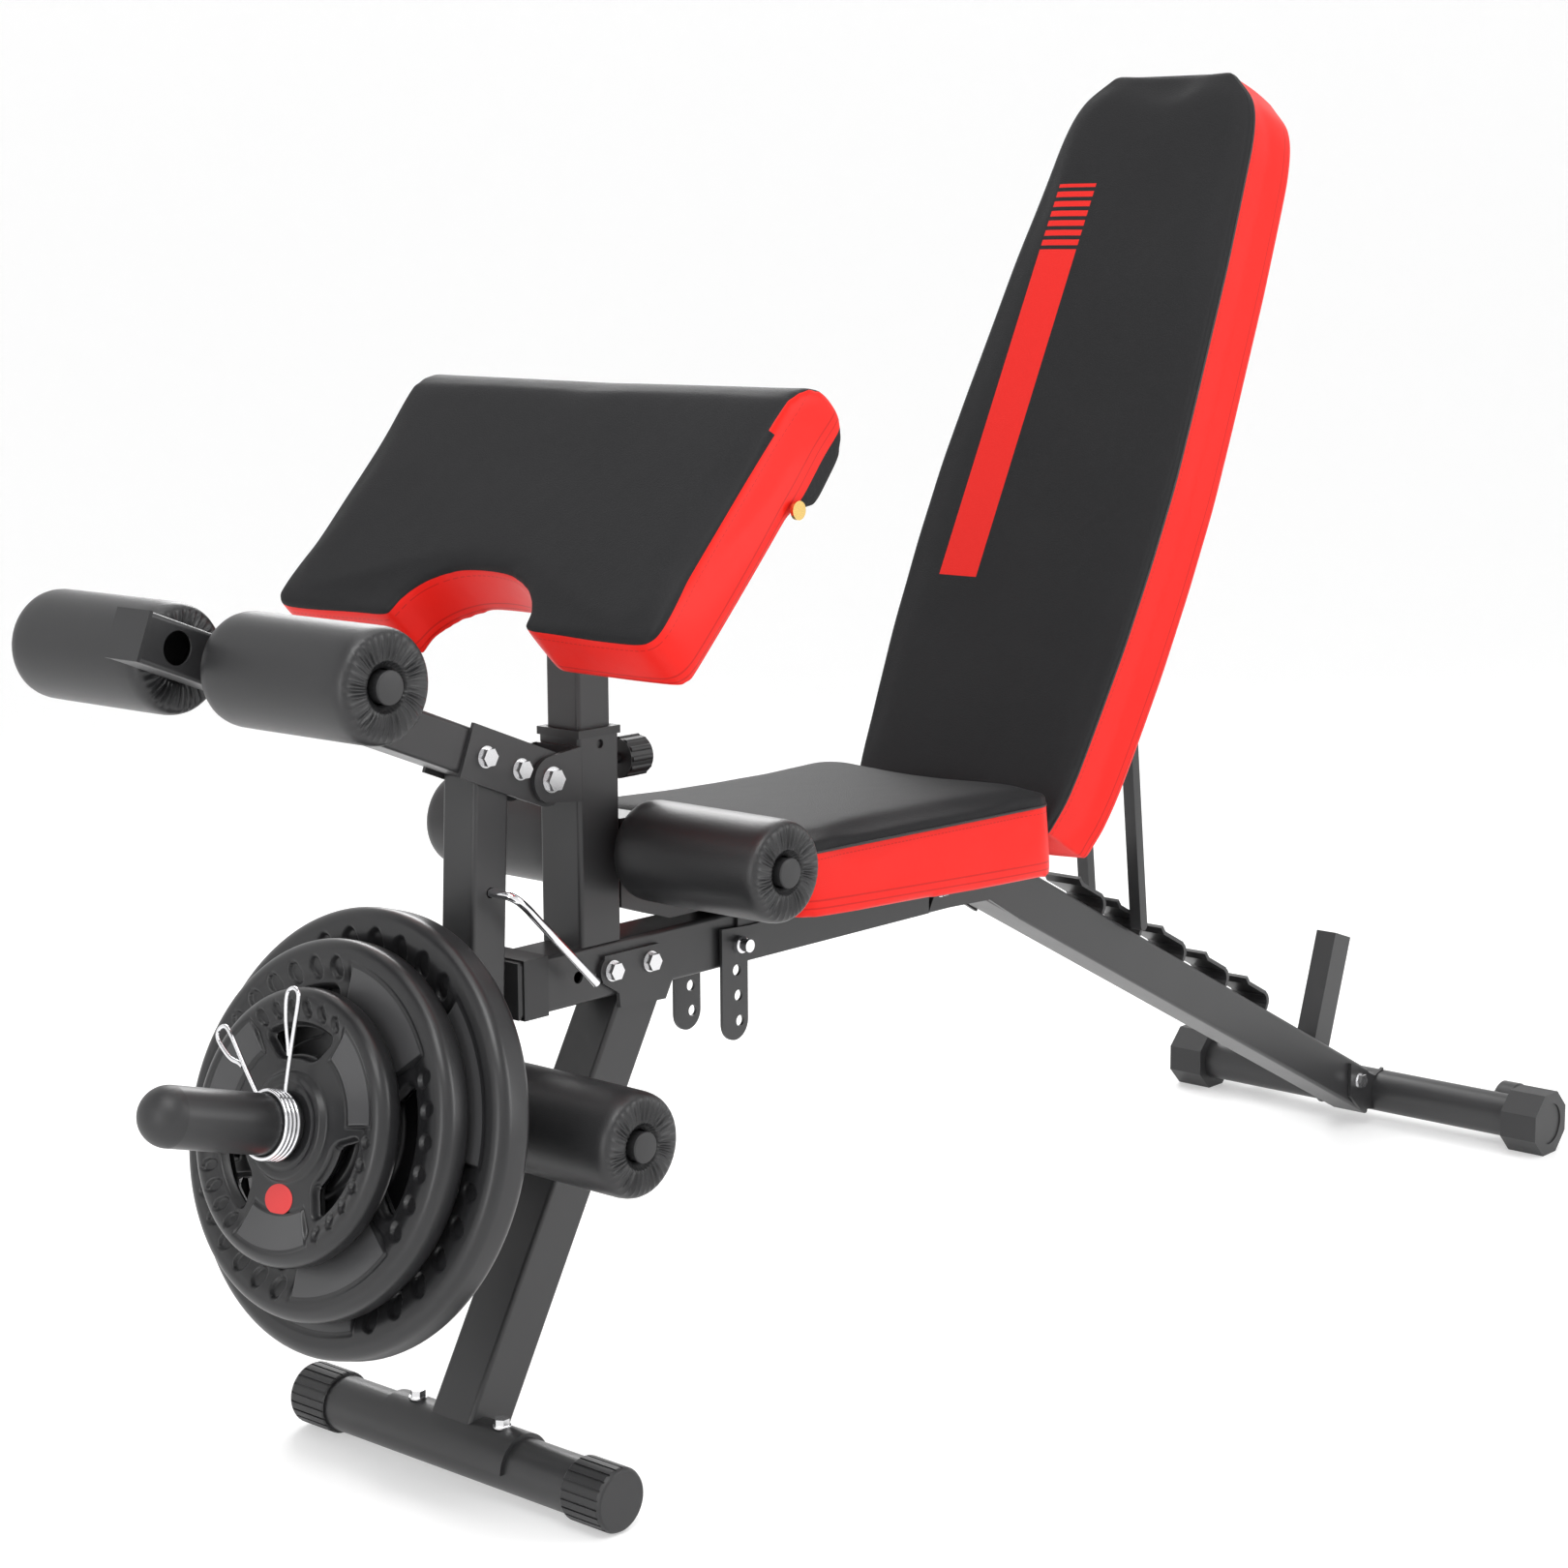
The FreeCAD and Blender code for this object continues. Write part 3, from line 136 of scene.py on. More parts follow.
def pad_material(name, seam, low, lean=0.0, band=None, roll=None):
    """Black grained vinyl above the seam and below the base, smooth red vinyl between them.

    band is the printed stripe's start, end, two sides and the end of its bars; roll is where
    the face cover starts to wrap round the pad's thick end."""
    m, tree, bsdf = new_material(name)
    where = tree.nodes.new("ShaderNodeTexCoord").outputs["Object"]
    split = tree.nodes.new("ShaderNodeSeparateXYZ")
    link(tree, where, split.inputs[0])
    x, y, z = split.outputs
    above = math_node(tree, "GREATER_THAN", z, seam)
    rise = math_node(tree, "SUBTRACT", z, math_node(tree, "MULTIPLY", x, lean))
    under = math_node(tree, "LESS_THAN", rise, low)
    black = math_node(tree, "MAXIMUM", above, under)
    if roll:
        # the face cover wraps round the roll; its flat ends stay red
        facing = tree.nodes.new("ShaderNodeSeparateXYZ")
        link(tree, tree.nodes.new("ShaderNodeTexCoord").outputs["Normal"], facing.inputs[0])
        on_roll = math_node(tree, "GREATER_THAN", x, roll)
        wrap = math_node(tree, "LESS_THAN", math_node(tree, "ABSOLUTE", facing.outputs["Y"]),
                         FACE_WRAP)
        on_face = math_node(tree, "MULTIPLY", above, math_node(tree, "LESS_THAN", x, roll))
        black = math_node(tree, "MAXIMUM", math_node(tree, "MAXIMUM", on_face, under),
                          math_node(tree, "MULTIPLY", on_roll, wrap))
    cloud = texture(tree, "Noise", where, 9.0, Detail=4.0).outputs["Fac"]
    dark, bright = hide_color(tree, BLACK, BLACK_DEEP), hide_color(tree, RED, RED_DEEP)
    for mix in (dark, bright):
        link(tree, cloud, mix.inputs["Factor"])
    dark_out = dark.outputs["Result"]
    if band:
        u0, u1, v0, v1, u2 = band
        across = math_node(tree, "MULTIPLY", math_node(tree, "GREATER_THAN", y, v0),
                           math_node(tree, "LESS_THAN", y, v1))
        solid = math_node(tree, "MULTIPLY", math_node(tree, "GREATER_THAN", x, u0),
                          math_node(tree, "LESS_THAN", x, u1))
        tail = math_node(tree, "MULTIPLY", math_node(tree, "GREATER_THAN", x, u1),
                         math_node(tree, "LESS_THAN", x, u2))
        wave = math_node(tree, "FRACT", math_node(tree, "MULTIPLY", x, PRINT_BARS / (u2 - u1)))
        bars = math_node(tree, "MULTIPLY", tail, math_node(tree, "GREATER_THAN", wave, 0.42))
        shown = math_node(tree, "MULTIPLY", across, math_node(tree, "MAXIMUM", solid, bars))
        printed = tree.nodes.new("ShaderNodeMix")
        printed.data_type = "RGBA"
        link(tree, math_node(tree, "MULTIPLY", shown, above), printed.inputs["Factor"])
        link(tree, dark_out, printed.inputs["A"])
        printed.inputs["B"].default_value = (*PRINT_RED, 1)
        dark_out = printed.outputs["Result"]
    sides = tree.nodes.new("ShaderNodeMix")
    sides.data_type = "RGBA"
    link(tree, black, sides.inputs["Factor"])
    link(tree, bright.outputs["Result"], sides.inputs["A"])
    link(tree, dark_out, sides.inputs["B"])
    # a row of stitches and two folded welts in the red side
    walk = math_node(tree, "MULTIPLY", math_node(tree, "ADD", x, y), STITCHES)
    dash = math_node(tree, "GREATER_THAN", math_node(tree, "FRACT", walk), 0.35)

    def line(level, at, width):
        gap = math_node(tree, "ABSOLUTE", math_node(tree, "SUBTRACT", level, at))
        return math_node(tree, "SUBTRACT", 1.0, math_node(tree, "DIVIDE", gap, width), clamp=True)

    red_only = math_node(tree, "SUBTRACT", 1.0, black, clamp=True)
    stitch = math_node(tree, "MULTIPLY", line(z, seam - 0.0065, 0.0008), dash)
    welts = math_node(tree, "MAXIMUM", line(rise, low + 0.0075, 0.0011),
                      line(rise, low + 0.0145, 0.0013))
    marks = math_node(tree, "MAXIMUM", stitch, welts)
    marks = math_node(tree, "MULTIPLY", marks, red_only)
    shade = tree.nodes.new("ShaderNodeMix")
    shade.data_type = "RGBA"
    link(tree, math_node(tree, "MULTIPLY", marks, 0.55), shade.inputs["Factor"])
    link(tree, sides.outputs["Result"], shade.inputs["A"])
    shade.inputs["B"].default_value = (*SEAM_RED, 1)
    link(tree, shade.outputs["Result"], bsdf.inputs["Base Color"])
    link(tree, math_node(tree, "ADD", 0.42, math_node(tree, "MULTIPLY", black, 0.20)),
         bsdf.inputs["Roughness"])
    bsdf.inputs["Specular IOR Level"].default_value = 0.18
    pebble = texture(tree, "Voronoi", where, 620.0).outputs["Distance"]
    wrinkle = texture(tree, "Noise", where, 26.0, Detail=3.0).outputs["Fac"]
    grain = math_node(tree, "MULTIPLY", pebble, math_node(tree, "ADD", 0.15, math_node(
        tree, "MULTIPLY", black, 0.85)))
    n1 = add_bump(tree, bsdf, grain, 0.30, 0.0005)
    n2 = add_bump(tree, bsdf, marks, -0.8, 0.0012, n1)
    add_bump(tree, bsdf, wrinkle, 0.16, 0.0035, n2)
    return m


def set_material(obj, mat):
    obj.data.materials.clear()
    obj.data.materials.append(mat)


coat = plain("coat", (0.024, 0.024, 0.025), 0.36, grain=0.10, grain_scale=1500)
zinc = plain("zinc_plate", (0.66, 0.66, 0.67), 0.24, 1.0, mottle=0.12)
chrome = plain("chrome_plate", (0.80, 0.80, 0.82), 0.07, 1.0, mottle=0.03)
plastic = plain("cap_plastic", (0.018, 0.018, 0.019), 0.48, grain=0.12)
rubber = plain("plate_coating", (0.013, 0.013, 0.014), 0.34, grain=0.06, grain_scale=700)
# a lighter black with the rubber's own roughness for the plates' raised panels: painted sheen
painted_sheen = plain("plate_painted_sheen", (0.055, 0.055, 0.057), 0.34)
tread = plain("wheel_plastic", (0.022, 0.022, 0.023), 0.34)
brass = plain("brass_stud", (0.75, 0.52, 0.18), 0.25, 1.0)
sticker = plain("sticker", (0.62, 0.03, 0.03), 0.35)

piped = plain("seam_cord", (0.010, 0.010, 0.011), 0.45)

roller_skin, tree, bsdf = new_material("roller_skin")
bsdf.inputs["Base Color"].default_value = (0.016, 0.016, 0.017, 1)
bsdf.inputs["Roughness"].default_value = 0.40
where = tree.nodes.new("ShaderNodeTexCoord").outputs["Object"]
add_bump(tree, bsdf, texture(tree, "Voronoi", where, 1000.0).outputs["Distance"], 0.22, 0.0003)

FINISH = {"frame_black": coat, "zinc": zinc, "chrome": chrome, "plastic_black": plastic,
          "plate_rubber": rubber, "wheel_rubber": tread, "brass": brass,
          "pad_black": coat, "roller_black": roller_skin}
slots = {s["node"]: s["material_slot"] for s in frame["record"]["subparts"]}
SHARP = {"frame_bolts", "hinge_bolts", "developer_bolts", "wheel_axles", "prop_pivot",
         "front_foot_caps", "lock_knob", "spring_collar"}
for name, obj in frame["nodes"].items():
    obj.data.materials.clear()
    obj.data.materials.append(FINISH[slots[name]])
    edge = obj.modifiers.new("soft_edge", "BEVEL")
    edge.width = 0.0004 if name in SHARP else 0.0009
    edge.segments = 2
    edge.limit_method = "ANGLE"
    edge.angle_limit = math.radians(40)
    edge.harden_normals = True


CORD_R = 0.0012         # corded seam
CLOTH_FRAMES = 20       # how long the covers are blown up
SWELL_EASE = 30         # passes that even out the swelling


# ---------------------------------------------------------------- mesh helpers
def mesh_object(name, verts, faces, smooth=True):
    mesh = bpy.data.meshes.new(name)
    mesh.from_pydata([tuple(v) for v in verts], [], faces)
    mesh.validate()
    mesh.update()
    if smooth:
        mesh.polygons.foreach_set("use_smooth", [True] * len(mesh.polygons))
    obj = bpy.data.objects.new(name, mesh)
    bpy.context.scene.collection.objects.link(obj)
    return obj


def tilt_matrix(origin, degrees):
    """Local X climbs at this angle in the side view, local Z is square to it."""
    return Matrix.Translation(origin) @ Matrix.Rotation(math.radians(-degrees), 4, "Y")


def only(obj):
    for o in bpy.context.selected_objects:
        o.select_set(False)
    obj.select_set(True)
    bpy.context.view_layer.objects.active = obj


def apply_all(obj):
    only(obj)
    for mod in list(obj.modifiers):
        bpy.ops.object.modifier_apply(modifier=mod.name)


def rounded(points, radius, steps=6):
    """A closed outline with its corners rounded."""
    out, count = [], len(points)
    for i, p in enumerate(points):
        p = Vector(p)
        a, b = Vector(points[i - 1]) - p, Vector(points[(i + 1) % count]) - p
        r = min(radius, a.length * 0.45, b.length * 0.45)
        start, end = p + a.normalized() * r, p + b.normalized() * r
        for k in range(steps + 1):
            t = k / steps
            out.append(start * (1 - t) ** 2 + p * 2 * t * (1 - t) + end * t ** 2)
    return out


def extruded(name, outline, low, high):
    """A closed block over an outline; low and high give heights from (x, y)."""
    count = len(outline)
    verts = [(x, y, low(x, y)) for x, y in outline] + [(x, y, high(x, y)) for x, y in outline]
    sides = [(i, (i + 1) % count, (i + 1) % count + count, i + count) for i in range(count)]
    faces = sides + [tuple(reversed(range(count))), tuple(range(count, 2 * count))]
    obj = mesh_object(name, verts, faces, smooth=False)
    mesh = bmesh.new()
    mesh.from_mesh(obj.data)
    bmesh.ops.recalc_face_normals(mesh, faces=mesh.faces)
    bmesh.ops.triangulate(mesh, faces=[f for f in mesh.faces if len(f.verts) > 4])
    mesh.to_mesh(obj.data)
    mesh.free()
    return obj


def stuffed(obj, voxel, cap, flat_below, snap=True, width=None):
    """Foam under a tight cover: remesh, swell with cloth pressure, hold the base flat.

    A pad that tapers starts as a straight block; width(x) then scales it sideways."""
    shape = BVHTree.FromPolygons([v.co for v in obj.data.vertices],
                                 [p.vertices for p in obj.data.polygons])
    remesh = obj.modifiers.new("remesh", "REMESH")
    remesh.mode, remesh.voxel_size = "VOXEL", voxel
    apply_all(obj)
    if snap:
        for v in obj.data.vertices:
            v.co = shape.find_nearest(v.co)[0]
    if width:
        for v in obj.data.vertices:
            v.co.y *= width(v.co.x)
    ease = obj.modifiers.new("ease", "SMOOTH")
    ease.factor, ease.iterations = 0.5, 3
    apply_all(obj)
    count = len(obj.data.vertices)
    before = np.empty(count * 3)
    obj.data.vertices.foreach_get("co", before)
    before = before.reshape(-1, 3)
    held = obj.vertex_groups.new(name="held")
    held.add([i for i in range(count) if before[i, 2] < flat_below(before[i, 0])], 1.0,
             "REPLACE")
    cloth = obj.modifiers.new("cloth", "CLOTH")
    s = cloth.settings
    s.quality, s.mass = 4, 0.3
    s.tension_stiffness = s.compression_stiffness = 18
    s.shear_stiffness, s.bending_stiffness = 8, 2.5
    s.use_pressure, s.uniform_pressure_force = True, 4.0
    s.effector_weights.gravity = 0.0
    s.vertex_group_mass = "held"
    cloth.point_cache.frame_start, cloth.point_cache.frame_end = 1, CLOTH_FRAMES
    for f in range(1, CLOTH_FRAMES + 1):
        bpy.context.scene.frame_set(f)
    apply_all(obj)
    bpy.context.scene.frame_set(1)
    after = np.empty(count * 3)
    obj.data.vertices.foreach_get("co", after)
    after = after.reshape(-1, 3)
    move = after - before
    ends = np.empty(len(obj.data.edges) * 2, dtype=np.int64)
    obj.data.edges.foreach_get("vertices", ends)
    a, b = ends.reshape(-1, 2).T
    degree = np.bincount(ends, minlength=count)[:, None]
    for _ in range(SWELL_EASE):
        total = np.zeros_like(move)
        np.add.at(total, a, move[b])
        np.add.at(total, b, move[a])
        move = 0.4 * move + 0.6 * total / np.maximum(degree, 1)
    size = np.linalg.norm(move, axis=1, keepdims=True)
    move *= np.minimum(1.0, cap / np.maximum(size, 1e-9))
    obj.data.vertices.foreach_set("co", (before + move).ravel())
    obj.data.polygons.foreach_set("use_smooth", [True] * len(obj.data.polygons))
    fine = obj.modifiers.new("fine", "SUBSURF")
    fine.levels = fine.render_levels = 1
    apply_all(obj)
    return obj


def tube(name, points, radius, body, mat, cyclic=False, steps=10):
    """A round wire or bead through the points."""
    curve = bpy.data.curves.new(name, "CURVE")
    curve.dimensions = "3D"
    curve.bevel_depth, curve.bevel_resolution = radius, 4
    curve.use_fill_caps = True
    line = curve.splines.new("NURBS")
    line.points.add(len(points) - 1)
    for p, q in zip(line.points, points):
        p.co = (*q, 1)
    line.use_cyclic_u = cyclic
    line.order_u, line.use_endpoint_u = 3, not cyclic
    line.resolution_u = steps
    obj = bpy.data.objects.new(name, curve)
    bpy.context.scene.collection.objects.link(obj)
    curve.materials.append(mat)
    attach(obj, body)
    return obj


def piping(name, pad, outline, level, body):
    """A thin corded seam laid round the pad's side where the two covers meet."""
    skin = BVHTree.FromPolygons([v.co for v in pad.data.vertices],
                                [p.vertices for p in pad.data.polygons])
    count, pts = len(outline), []
    for i in range(count):
        a, b = Vector(outline[i - 1]), Vector(outline[(i + 1) % count])
        along = (b - a).normalized()
        out = Vector((along.y, -along.x, 0))
        here = Vector((*outline[i], level))
        hit = skin.ray_cast(here + out * 0.03, -out, 0.06)[0]
        if hit:
            pts.append(pad.matrix_world @ hit)
    return tube(name, pts, CORD_R, body, piped, cyclic=True, steps=3)


# ---------------------------------------------------------------- seat pad
seat_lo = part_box("seat_pad")[0]
SEAT_SEAM, SEAT_TOP, SEAT_LEAN, SEAT_LONG = 0.0575, 0.0665, -0.0338, 0.398
SEAT_START, SEAT_HALF, SEAT_Z, SEAT_TILT = 0.001, 0.1525, 0.4665, -0.95
seat_outline = rounded([(SEAT_START, -SEAT_HALF), (SEAT_LONG, -SEAT_HALF),
                        (SEAT_LONG, SEAT_HALF), (SEAT_START, SEAT_HALF)], 0.040)
seat = extruded("seat_cushion", seat_outline, lambda x, y: SEAT_LEAN * x + 0.0005,
                lambda x, y: SEAT_TOP)
seat.matrix_world = tilt_matrix(Vector((seat_lo.x, 0, SEAT_Z)), SEAT_TILT)
stuffed(seat, 0.006, 0.009, lambda x: SEAT_LEAN * x + 0.004)
set_material(seat, pad_material("seat_vinyl", SEAT_SEAM, 0.0015, lean=SEAT_LEAN))
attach(seat, "seat")
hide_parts("seat_pad")
piping("seat_piping", seat, seat_outline, SEAT_SEAM, "seat")

# ---------------------------------------------------------------- backrest pad
back_frame = tilt_matrix(HINGE, BACK_TILT)
WIDTHS = [(-0.020, 0.120), (-0.006, 0.131), (0.040, 0.139), (0.100, 0.144), (0.180, 0.150),
          (0.270, 0.153), (0.360, 0.153), (0.450, 0.148), (0.600, 0.138), (0.743, 0.124),
          (0.785, 0.113), (0.810, 0.094), (0.823, 0.062)]
back_outline = [(u, -w) for u, w in WIDTHS] + [(u, w) for u, w in WIDTHS[::-1]]
BACK_LOW, BACK_SEAM = 0.0075, 0.082
back_round = rounded(back_outline, 0.03, 4)
BLOCK_HALF = 0.15
back_ends = (WIDTHS[0][0], WIDTHS[-1][0])
back = extruded("backrest_cushion",
                [(back_ends[0], -BLOCK_HALF), (back_ends[1], -BLOCK_HALF),
                 (back_ends[1], BLOCK_HALF), (back_ends[0], BLOCK_HALF)],
                lambda x, y: BACK_LOW, lambda x, y: BACK_SEAM + 0.009)
back.matrix_world = back_frame


def back_width(x):
    """The backrest's half width over the block's, with its corners eased."""
    near = [np.interp(x + d, *zip(*WIDTHS)) for d in (-0.018, -0.009, 0.0, 0.009, 0.018)]
    return float(np.mean(near)) / BLOCK_HALF


stuffed(back, 0.0065, 0.006, lambda x: BACK_LOW + 0.004, width=back_width)
set_material(back, pad_material("back_vinyl", BACK_SEAM, BACK_LOW + 0.0015,
                                band=(0.238, 0.607, 0.051, 0.099, 0.686)))
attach(back, "backrest")
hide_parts("backrest_pad")
piping("back_piping", back, back_round, BACK_SEAM, "backrest")

# ---------------------------------------------------------------- preacher pad
BOARD_AWAY = 0.9559     # the board's face from the origin, square to it
board_origin = Vector((-BOARD_AWAY * math.sin(math.radians(BOARD_TILT)), 0,
                       BOARD_AWAY * math.cos(math.radians(BOARD_TILT))))
board_frame = tilt_matrix(board_origin, BOARD_TILT)
B_HALF, U0, U1, ROLL = 0.2325, 0.1215, 0.372, 0.0415
NOTCH_HALF, NOTCH_DEEP, BOARD_SEAM, BOARD_BASE = 0.083, 0.058, -0.0040, -0.0605
notch = []
for k in range(13):
    a = math.pi * k / 12
    notch.append((U0 + NOTCH_DEEP * math.sin(a) ** 0.8, NOTCH_HALF * math.cos(a)))
flat = [(U1 - 0.02, -B_HALF), (U1 - 0.02, B_HALF), (U0, B_HALF),
        (U0, NOTCH_HALF)]
flat += notch[1:-1] + [(U0, -NOTCH_HALF), (U0, -B_HALF)]
corner = rounded(flat, 0.022, 5)
board = extruded("preacher_cushion", corner, lambda x, y: -0.060, lambda x, y: 0.001)
roll_v = []
ring = [(U1 - 0.045, 0.001)] + [(U1 + ROLL * math.sin(t), -ROLL + 0.001 + ROLL * math.cos(t))
                                for t in np.linspace(0, math.pi, 17)]
ring += [(U1 - 0.040, -2 * ROLL + 0.001), (U1 - 0.064, -0.061)]
for y in (-B_HALF, B_HALF):
    roll_v += [(u, y, n) for u, n in ring]
n_ring = len(ring)
roll_f = [(i, (i + 1) % n_ring, (i + 1) % n_ring + n_ring, i + n_ring) for i in range(n_ring)]
roll_f += [tuple(reversed(range(n_ring))), tuple(range(n_ring, 2 * n_ring))]
roll = mesh_object("preacher_roll", roll_v, roll_f, smooth=False)
only(roll)
board.select_set(True)
bpy.context.view_layer.objects.active = board
bpy.ops.object.join()
fixer = bmesh.new()
fixer.from_mesh(board.data)
bmesh.ops.recalc_face_normals(fixer, faces=fixer.faces)
fixer.to_mesh(board.data)
fixer.free()
board.matrix_world = board_frame
stuffed(board, 0.006, 0.005, lambda x: -0.056 if x < U1 - 0.064 else -0.080, snap=False)
set_material(board, pad_material("board_vinyl", BOARD_SEAM, BOARD_BASE, roll=U1 - 0.030))
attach(board, "post")
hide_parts("preacher_pad")


# ---------------------------------------------------------------- foam rollers
BAR_HALF = 0.2055


def foam_roller(name, node, body, side):
    """A vinyl sleeve over foam, gathered at both ends round the bar."""
    lo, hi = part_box(node)
    cx, cz = (lo.x + hi.x) / 2, (lo.z + hi.z) / 2
    y0, y1 = lo.y, hi.y
    ends = [(0.0138, 0.0100), (0.0150, 0.0085), (0.0165, 0.0072), (0.0180, 0.0060),
            (0.0192, 0.0036), (0.0205, 0.0022), (0.0225, 0.0014), (0.0250, 0.0009),
            (0.0275, 0.0007), (0.0300, 0.0007), (0.0325, 0.0009), (0.0350, 0.0013),
            (0.0375, 0.0020), (0.0400, 0.0033), (0.0420, 0.0052), (0.0435, 0.0080),
            (0.0444, 0.0115), (0.0449, 0.0160)]
    profile = [(r, y0 + d) for r, d in ends]
    profile += [(0.0450, y) for y in np.linspace(y0 + 0.03, y1 - 0.03, 9)]
    profile += [(r, y1 - d) for r, d in reversed(ends)]
    around, phase = 420, rng.uniform(0, 6.28, 6)
    th = np.linspace(0, 2 * math.pi, around, endpoint=False)
    fold = th * 36 + 0.9 * np.sin(5 * th + phase[0]) + 1.3 * np.sin(3 * th + phase[1])
    ridge = 1 - 2 * np.abs(np.sin(fold / 2)) ** 0.6
    deep = 0.7 + 0.3 * np.sin(7 * th + phase[2])
    verts, faces = [], []
    for i, (r, y) in enumerate(profile):
        near = min(y - y0, y1 - y)
        pull = math.exp(-((r - 0.029) / 0.0095) ** 4) if near < 0.02 else 0.0
        twist = 0.6 * (r - 0.03) / 0.015
        wave = np.interp((th + 0.10 * twist) % (2 * math.pi), th, ridge * deep,
                         period=2 * math.pi)
        out = -1 if y - y0 < y1 - y else 1
        yy = y + out * 0.0021 * pull * (wave - 0.5)
        rr = r * (1 + 0.010 * pull * wave)
        verts += list(zip(cx + rr * np.cos(th), yy, cz + rr * np.sin(th)))
    rows = len(profile)
    for i in range(rows - 1):
        for j in range(around):
            k = (j + 1) % around
            faces.append((i * around + j, i * around + k, (i + 1) * around + k,
                          (i + 1) * around + j))
    obj = mesh_object(name, verts, faces)
    set_material(obj, roller_skin)
    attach(obj, body)
    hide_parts(node)
    # the bar's end button
    bpy.ops.mesh.primitive_cylinder_add(vertices=48, radius=0.0132, depth=0.004, location=(
        cx, side * BAR_HALF, cz), rotation=(math.pi / 2, 0, 0))
    button = bpy.context.object
    button.name = f"{name}_button"
    edge = button.modifiers.new("edge", "BEVEL")
    edge.width, edge.segments = 0.0014, 3
    button.data.polygons.foreach_set("use_smooth", [True] * len(button.data.polygons))
    set_material(button, plastic)
    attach(button, "seat" if node.startswith("knee") else "developer")


for part in ("upper", "lower", "knee"):
    for side, word in ((-1, "left"), (1, "right")):
        foam_roller(f"{part}_foam_{word}", f"{part}_roller_{word}", f"{part}_{word}_roller", side)


# ---------------------------------------------------------------- weight plates
peg_frame = Matrix.Translation(PEG) @ Matrix.Rotation(math.radians(PEG_TILT - 90), 4, "Y")


def weight_plate(name, node, body, radius, low, thick, turn):
    """A rubber plate: rolled rim, three hand grips with finger dents, raised hub and pads; the
    raised panels get a lighter black as painted sheen.
    """
    around, roll = 720, 0.011
    bore, hub, rim = 0.02505, radius * 0.34 + 0.004, radius * 0.90
    inner, outer, reach = radius * 0.47, radius * 0.765, 33.0
    rs = np.concatenate([[bore, bore + 0.002], np.arange(bore + 0.004, radius - roll, 0.0016),
                         radius - roll + roll * np.sin(np.linspace(0, math.pi / 2, 10))])
    th = np.radians(np.linspace(0, 360, around, endpoint=False))
    R, T = np.meshgrid(rs, th, indexing="ij")
    half_t = thick / 2
    step = thick * 0.20

    def ramp(v, width):
        v = np.clip(v / width, 0, 1)
        return v * v * (3 - 2 * v)

    curve = np.clip((R - (radius - roll)) / roll, 0, 1)
    crown = half_t - roll * (1 - np.sqrt(np.clip(1 - curve ** 2, 0, 1)))
    angle = (np.degrees(T) - turn + 60) % 120 - 60
    spoke = 60 - np.abs(angle)
    # hub ring, sunken web, and a slope that climbs to the rim
    web = ramp(R - hub, 0.003) * (1 - ramp(R - outer, rim - outer))
    height = crown - step * web
    ring = np.exp(-((R - (hub - 0.007)) / 0.0012) ** 2)
    height = height - 0.0012 * ring
    # smooth raised panels where the spokes meet the rim
    p0, p1 = radius * 0.61, radius * 0.885
    edge_in = np.minimum(np.minimum(R - p0, p1 - R), (25 - spoke) / 57.3 * R)
    lift = 0.0012 + (step - 0.0022) * np.clip((R - p0) / (p1 - p0), 0, 1)
    panel = ramp(edge_in, 0.0022)
    height = height * (1 - panel) + (half_t - step + lift) * panel
    height = height - 0.0014 * np.exp(-((edge_in + 0.0006) / 0.0010) ** 2)
    # finger dents between each grip and the rim
    for dent in np.arange(-27.5, 28, 11.0):
        du = (R - radius * 0.845) / (radius * 0.062)
        dv = (angle - dent) / 57.3 * R / (radius * 0.047)
        height = height - 0.0036 * ramp(1 - (du ** 2 + dv ** 2), 0.30)
    # signed distance into the grip opening, with round corners
    reach_here = 24 + (reach - 24) * np.clip((R - inner) / (outer - inner), 0, 1)
    side_in = (reach_here - np.abs(angle)) / 57.3 * R
    ring_in = np.minimum(R - inner, outer - R)
    round_r = radius * 0.10
    du, dv = np.maximum(round_r - side_in, 0), np.maximum(round_r - ring_in, 0)
    inside = np.where((side_in < round_r) & (ring_in < round_r),
                      round_r - np.sqrt(du ** 2 + dv ** 2), np.minimum(side_in, ring_in))
    height = height * (1 - 0.9 * ramp(inside, 0.0045) ** 2)
    hole = inside > 0.0046
    mid = low + half_t
    rows = len(rs)
    front = np.stack([R * np.cos(T), R * np.sin(T), mid + height], -1).reshape(-1, 3)
    rear = np.stack([R * np.cos(T), R * np.sin(T), mid - height], -1).reshape(-1, 3)
    total = rows * around
    faces, painted_sheen_faces = [], []
    # faces on the raised panels take the second, lighter material: painted sheen
    gone, painted_sheen_mask = hole.reshape(-1), (panel > 0.6).reshape(-1)
    for i in range(rows - 1):
        for j in range(around):
            k = (j + 1) % around
            q = (i * around + j, (i + 1) * around + j, (i + 1) * around + k, i * around + k)
            if gone[q[0]] and gone[q[1]] and gone[q[2]] and gone[q[3]]:
                continue
            faces.append(q)
            faces.append(tuple(total + v for v in reversed(q)))
            painted_sheen_faces += [int(painted_sheen_mask[q[0]] and painted_sheen_mask[q[2]])] * 2
    for i in (0, rows - 1):
        for j in range(around):
            k = (j + 1) % around
            q = (i * around + j, i * around + k, total + i * around + k, total + i * around + j)
            faces.append(q if i == 0 else tuple(reversed(q)))
            painted_sheen_faces.append(0)
    obj = mesh_object(name, np.concatenate([front, rear]), faces)
    obj.data.polygons.foreach_set("material_index", painted_sheen_faces)
    merge = bmesh.new()
    merge.from_mesh(obj.data)
    bmesh.ops.remove_doubles(merge, verts=merge.verts, dist=2e-5)
    bmesh.ops.recalc_face_normals(merge, faces=merge.faces)
    merge.to_mesh(obj.data)
    merge.free()
    obj.matrix_world = peg_frame
    for mat in (rubber, painted_sheen):
        obj.data.materials.append(mat)
    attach(obj, body)
    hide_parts(node)


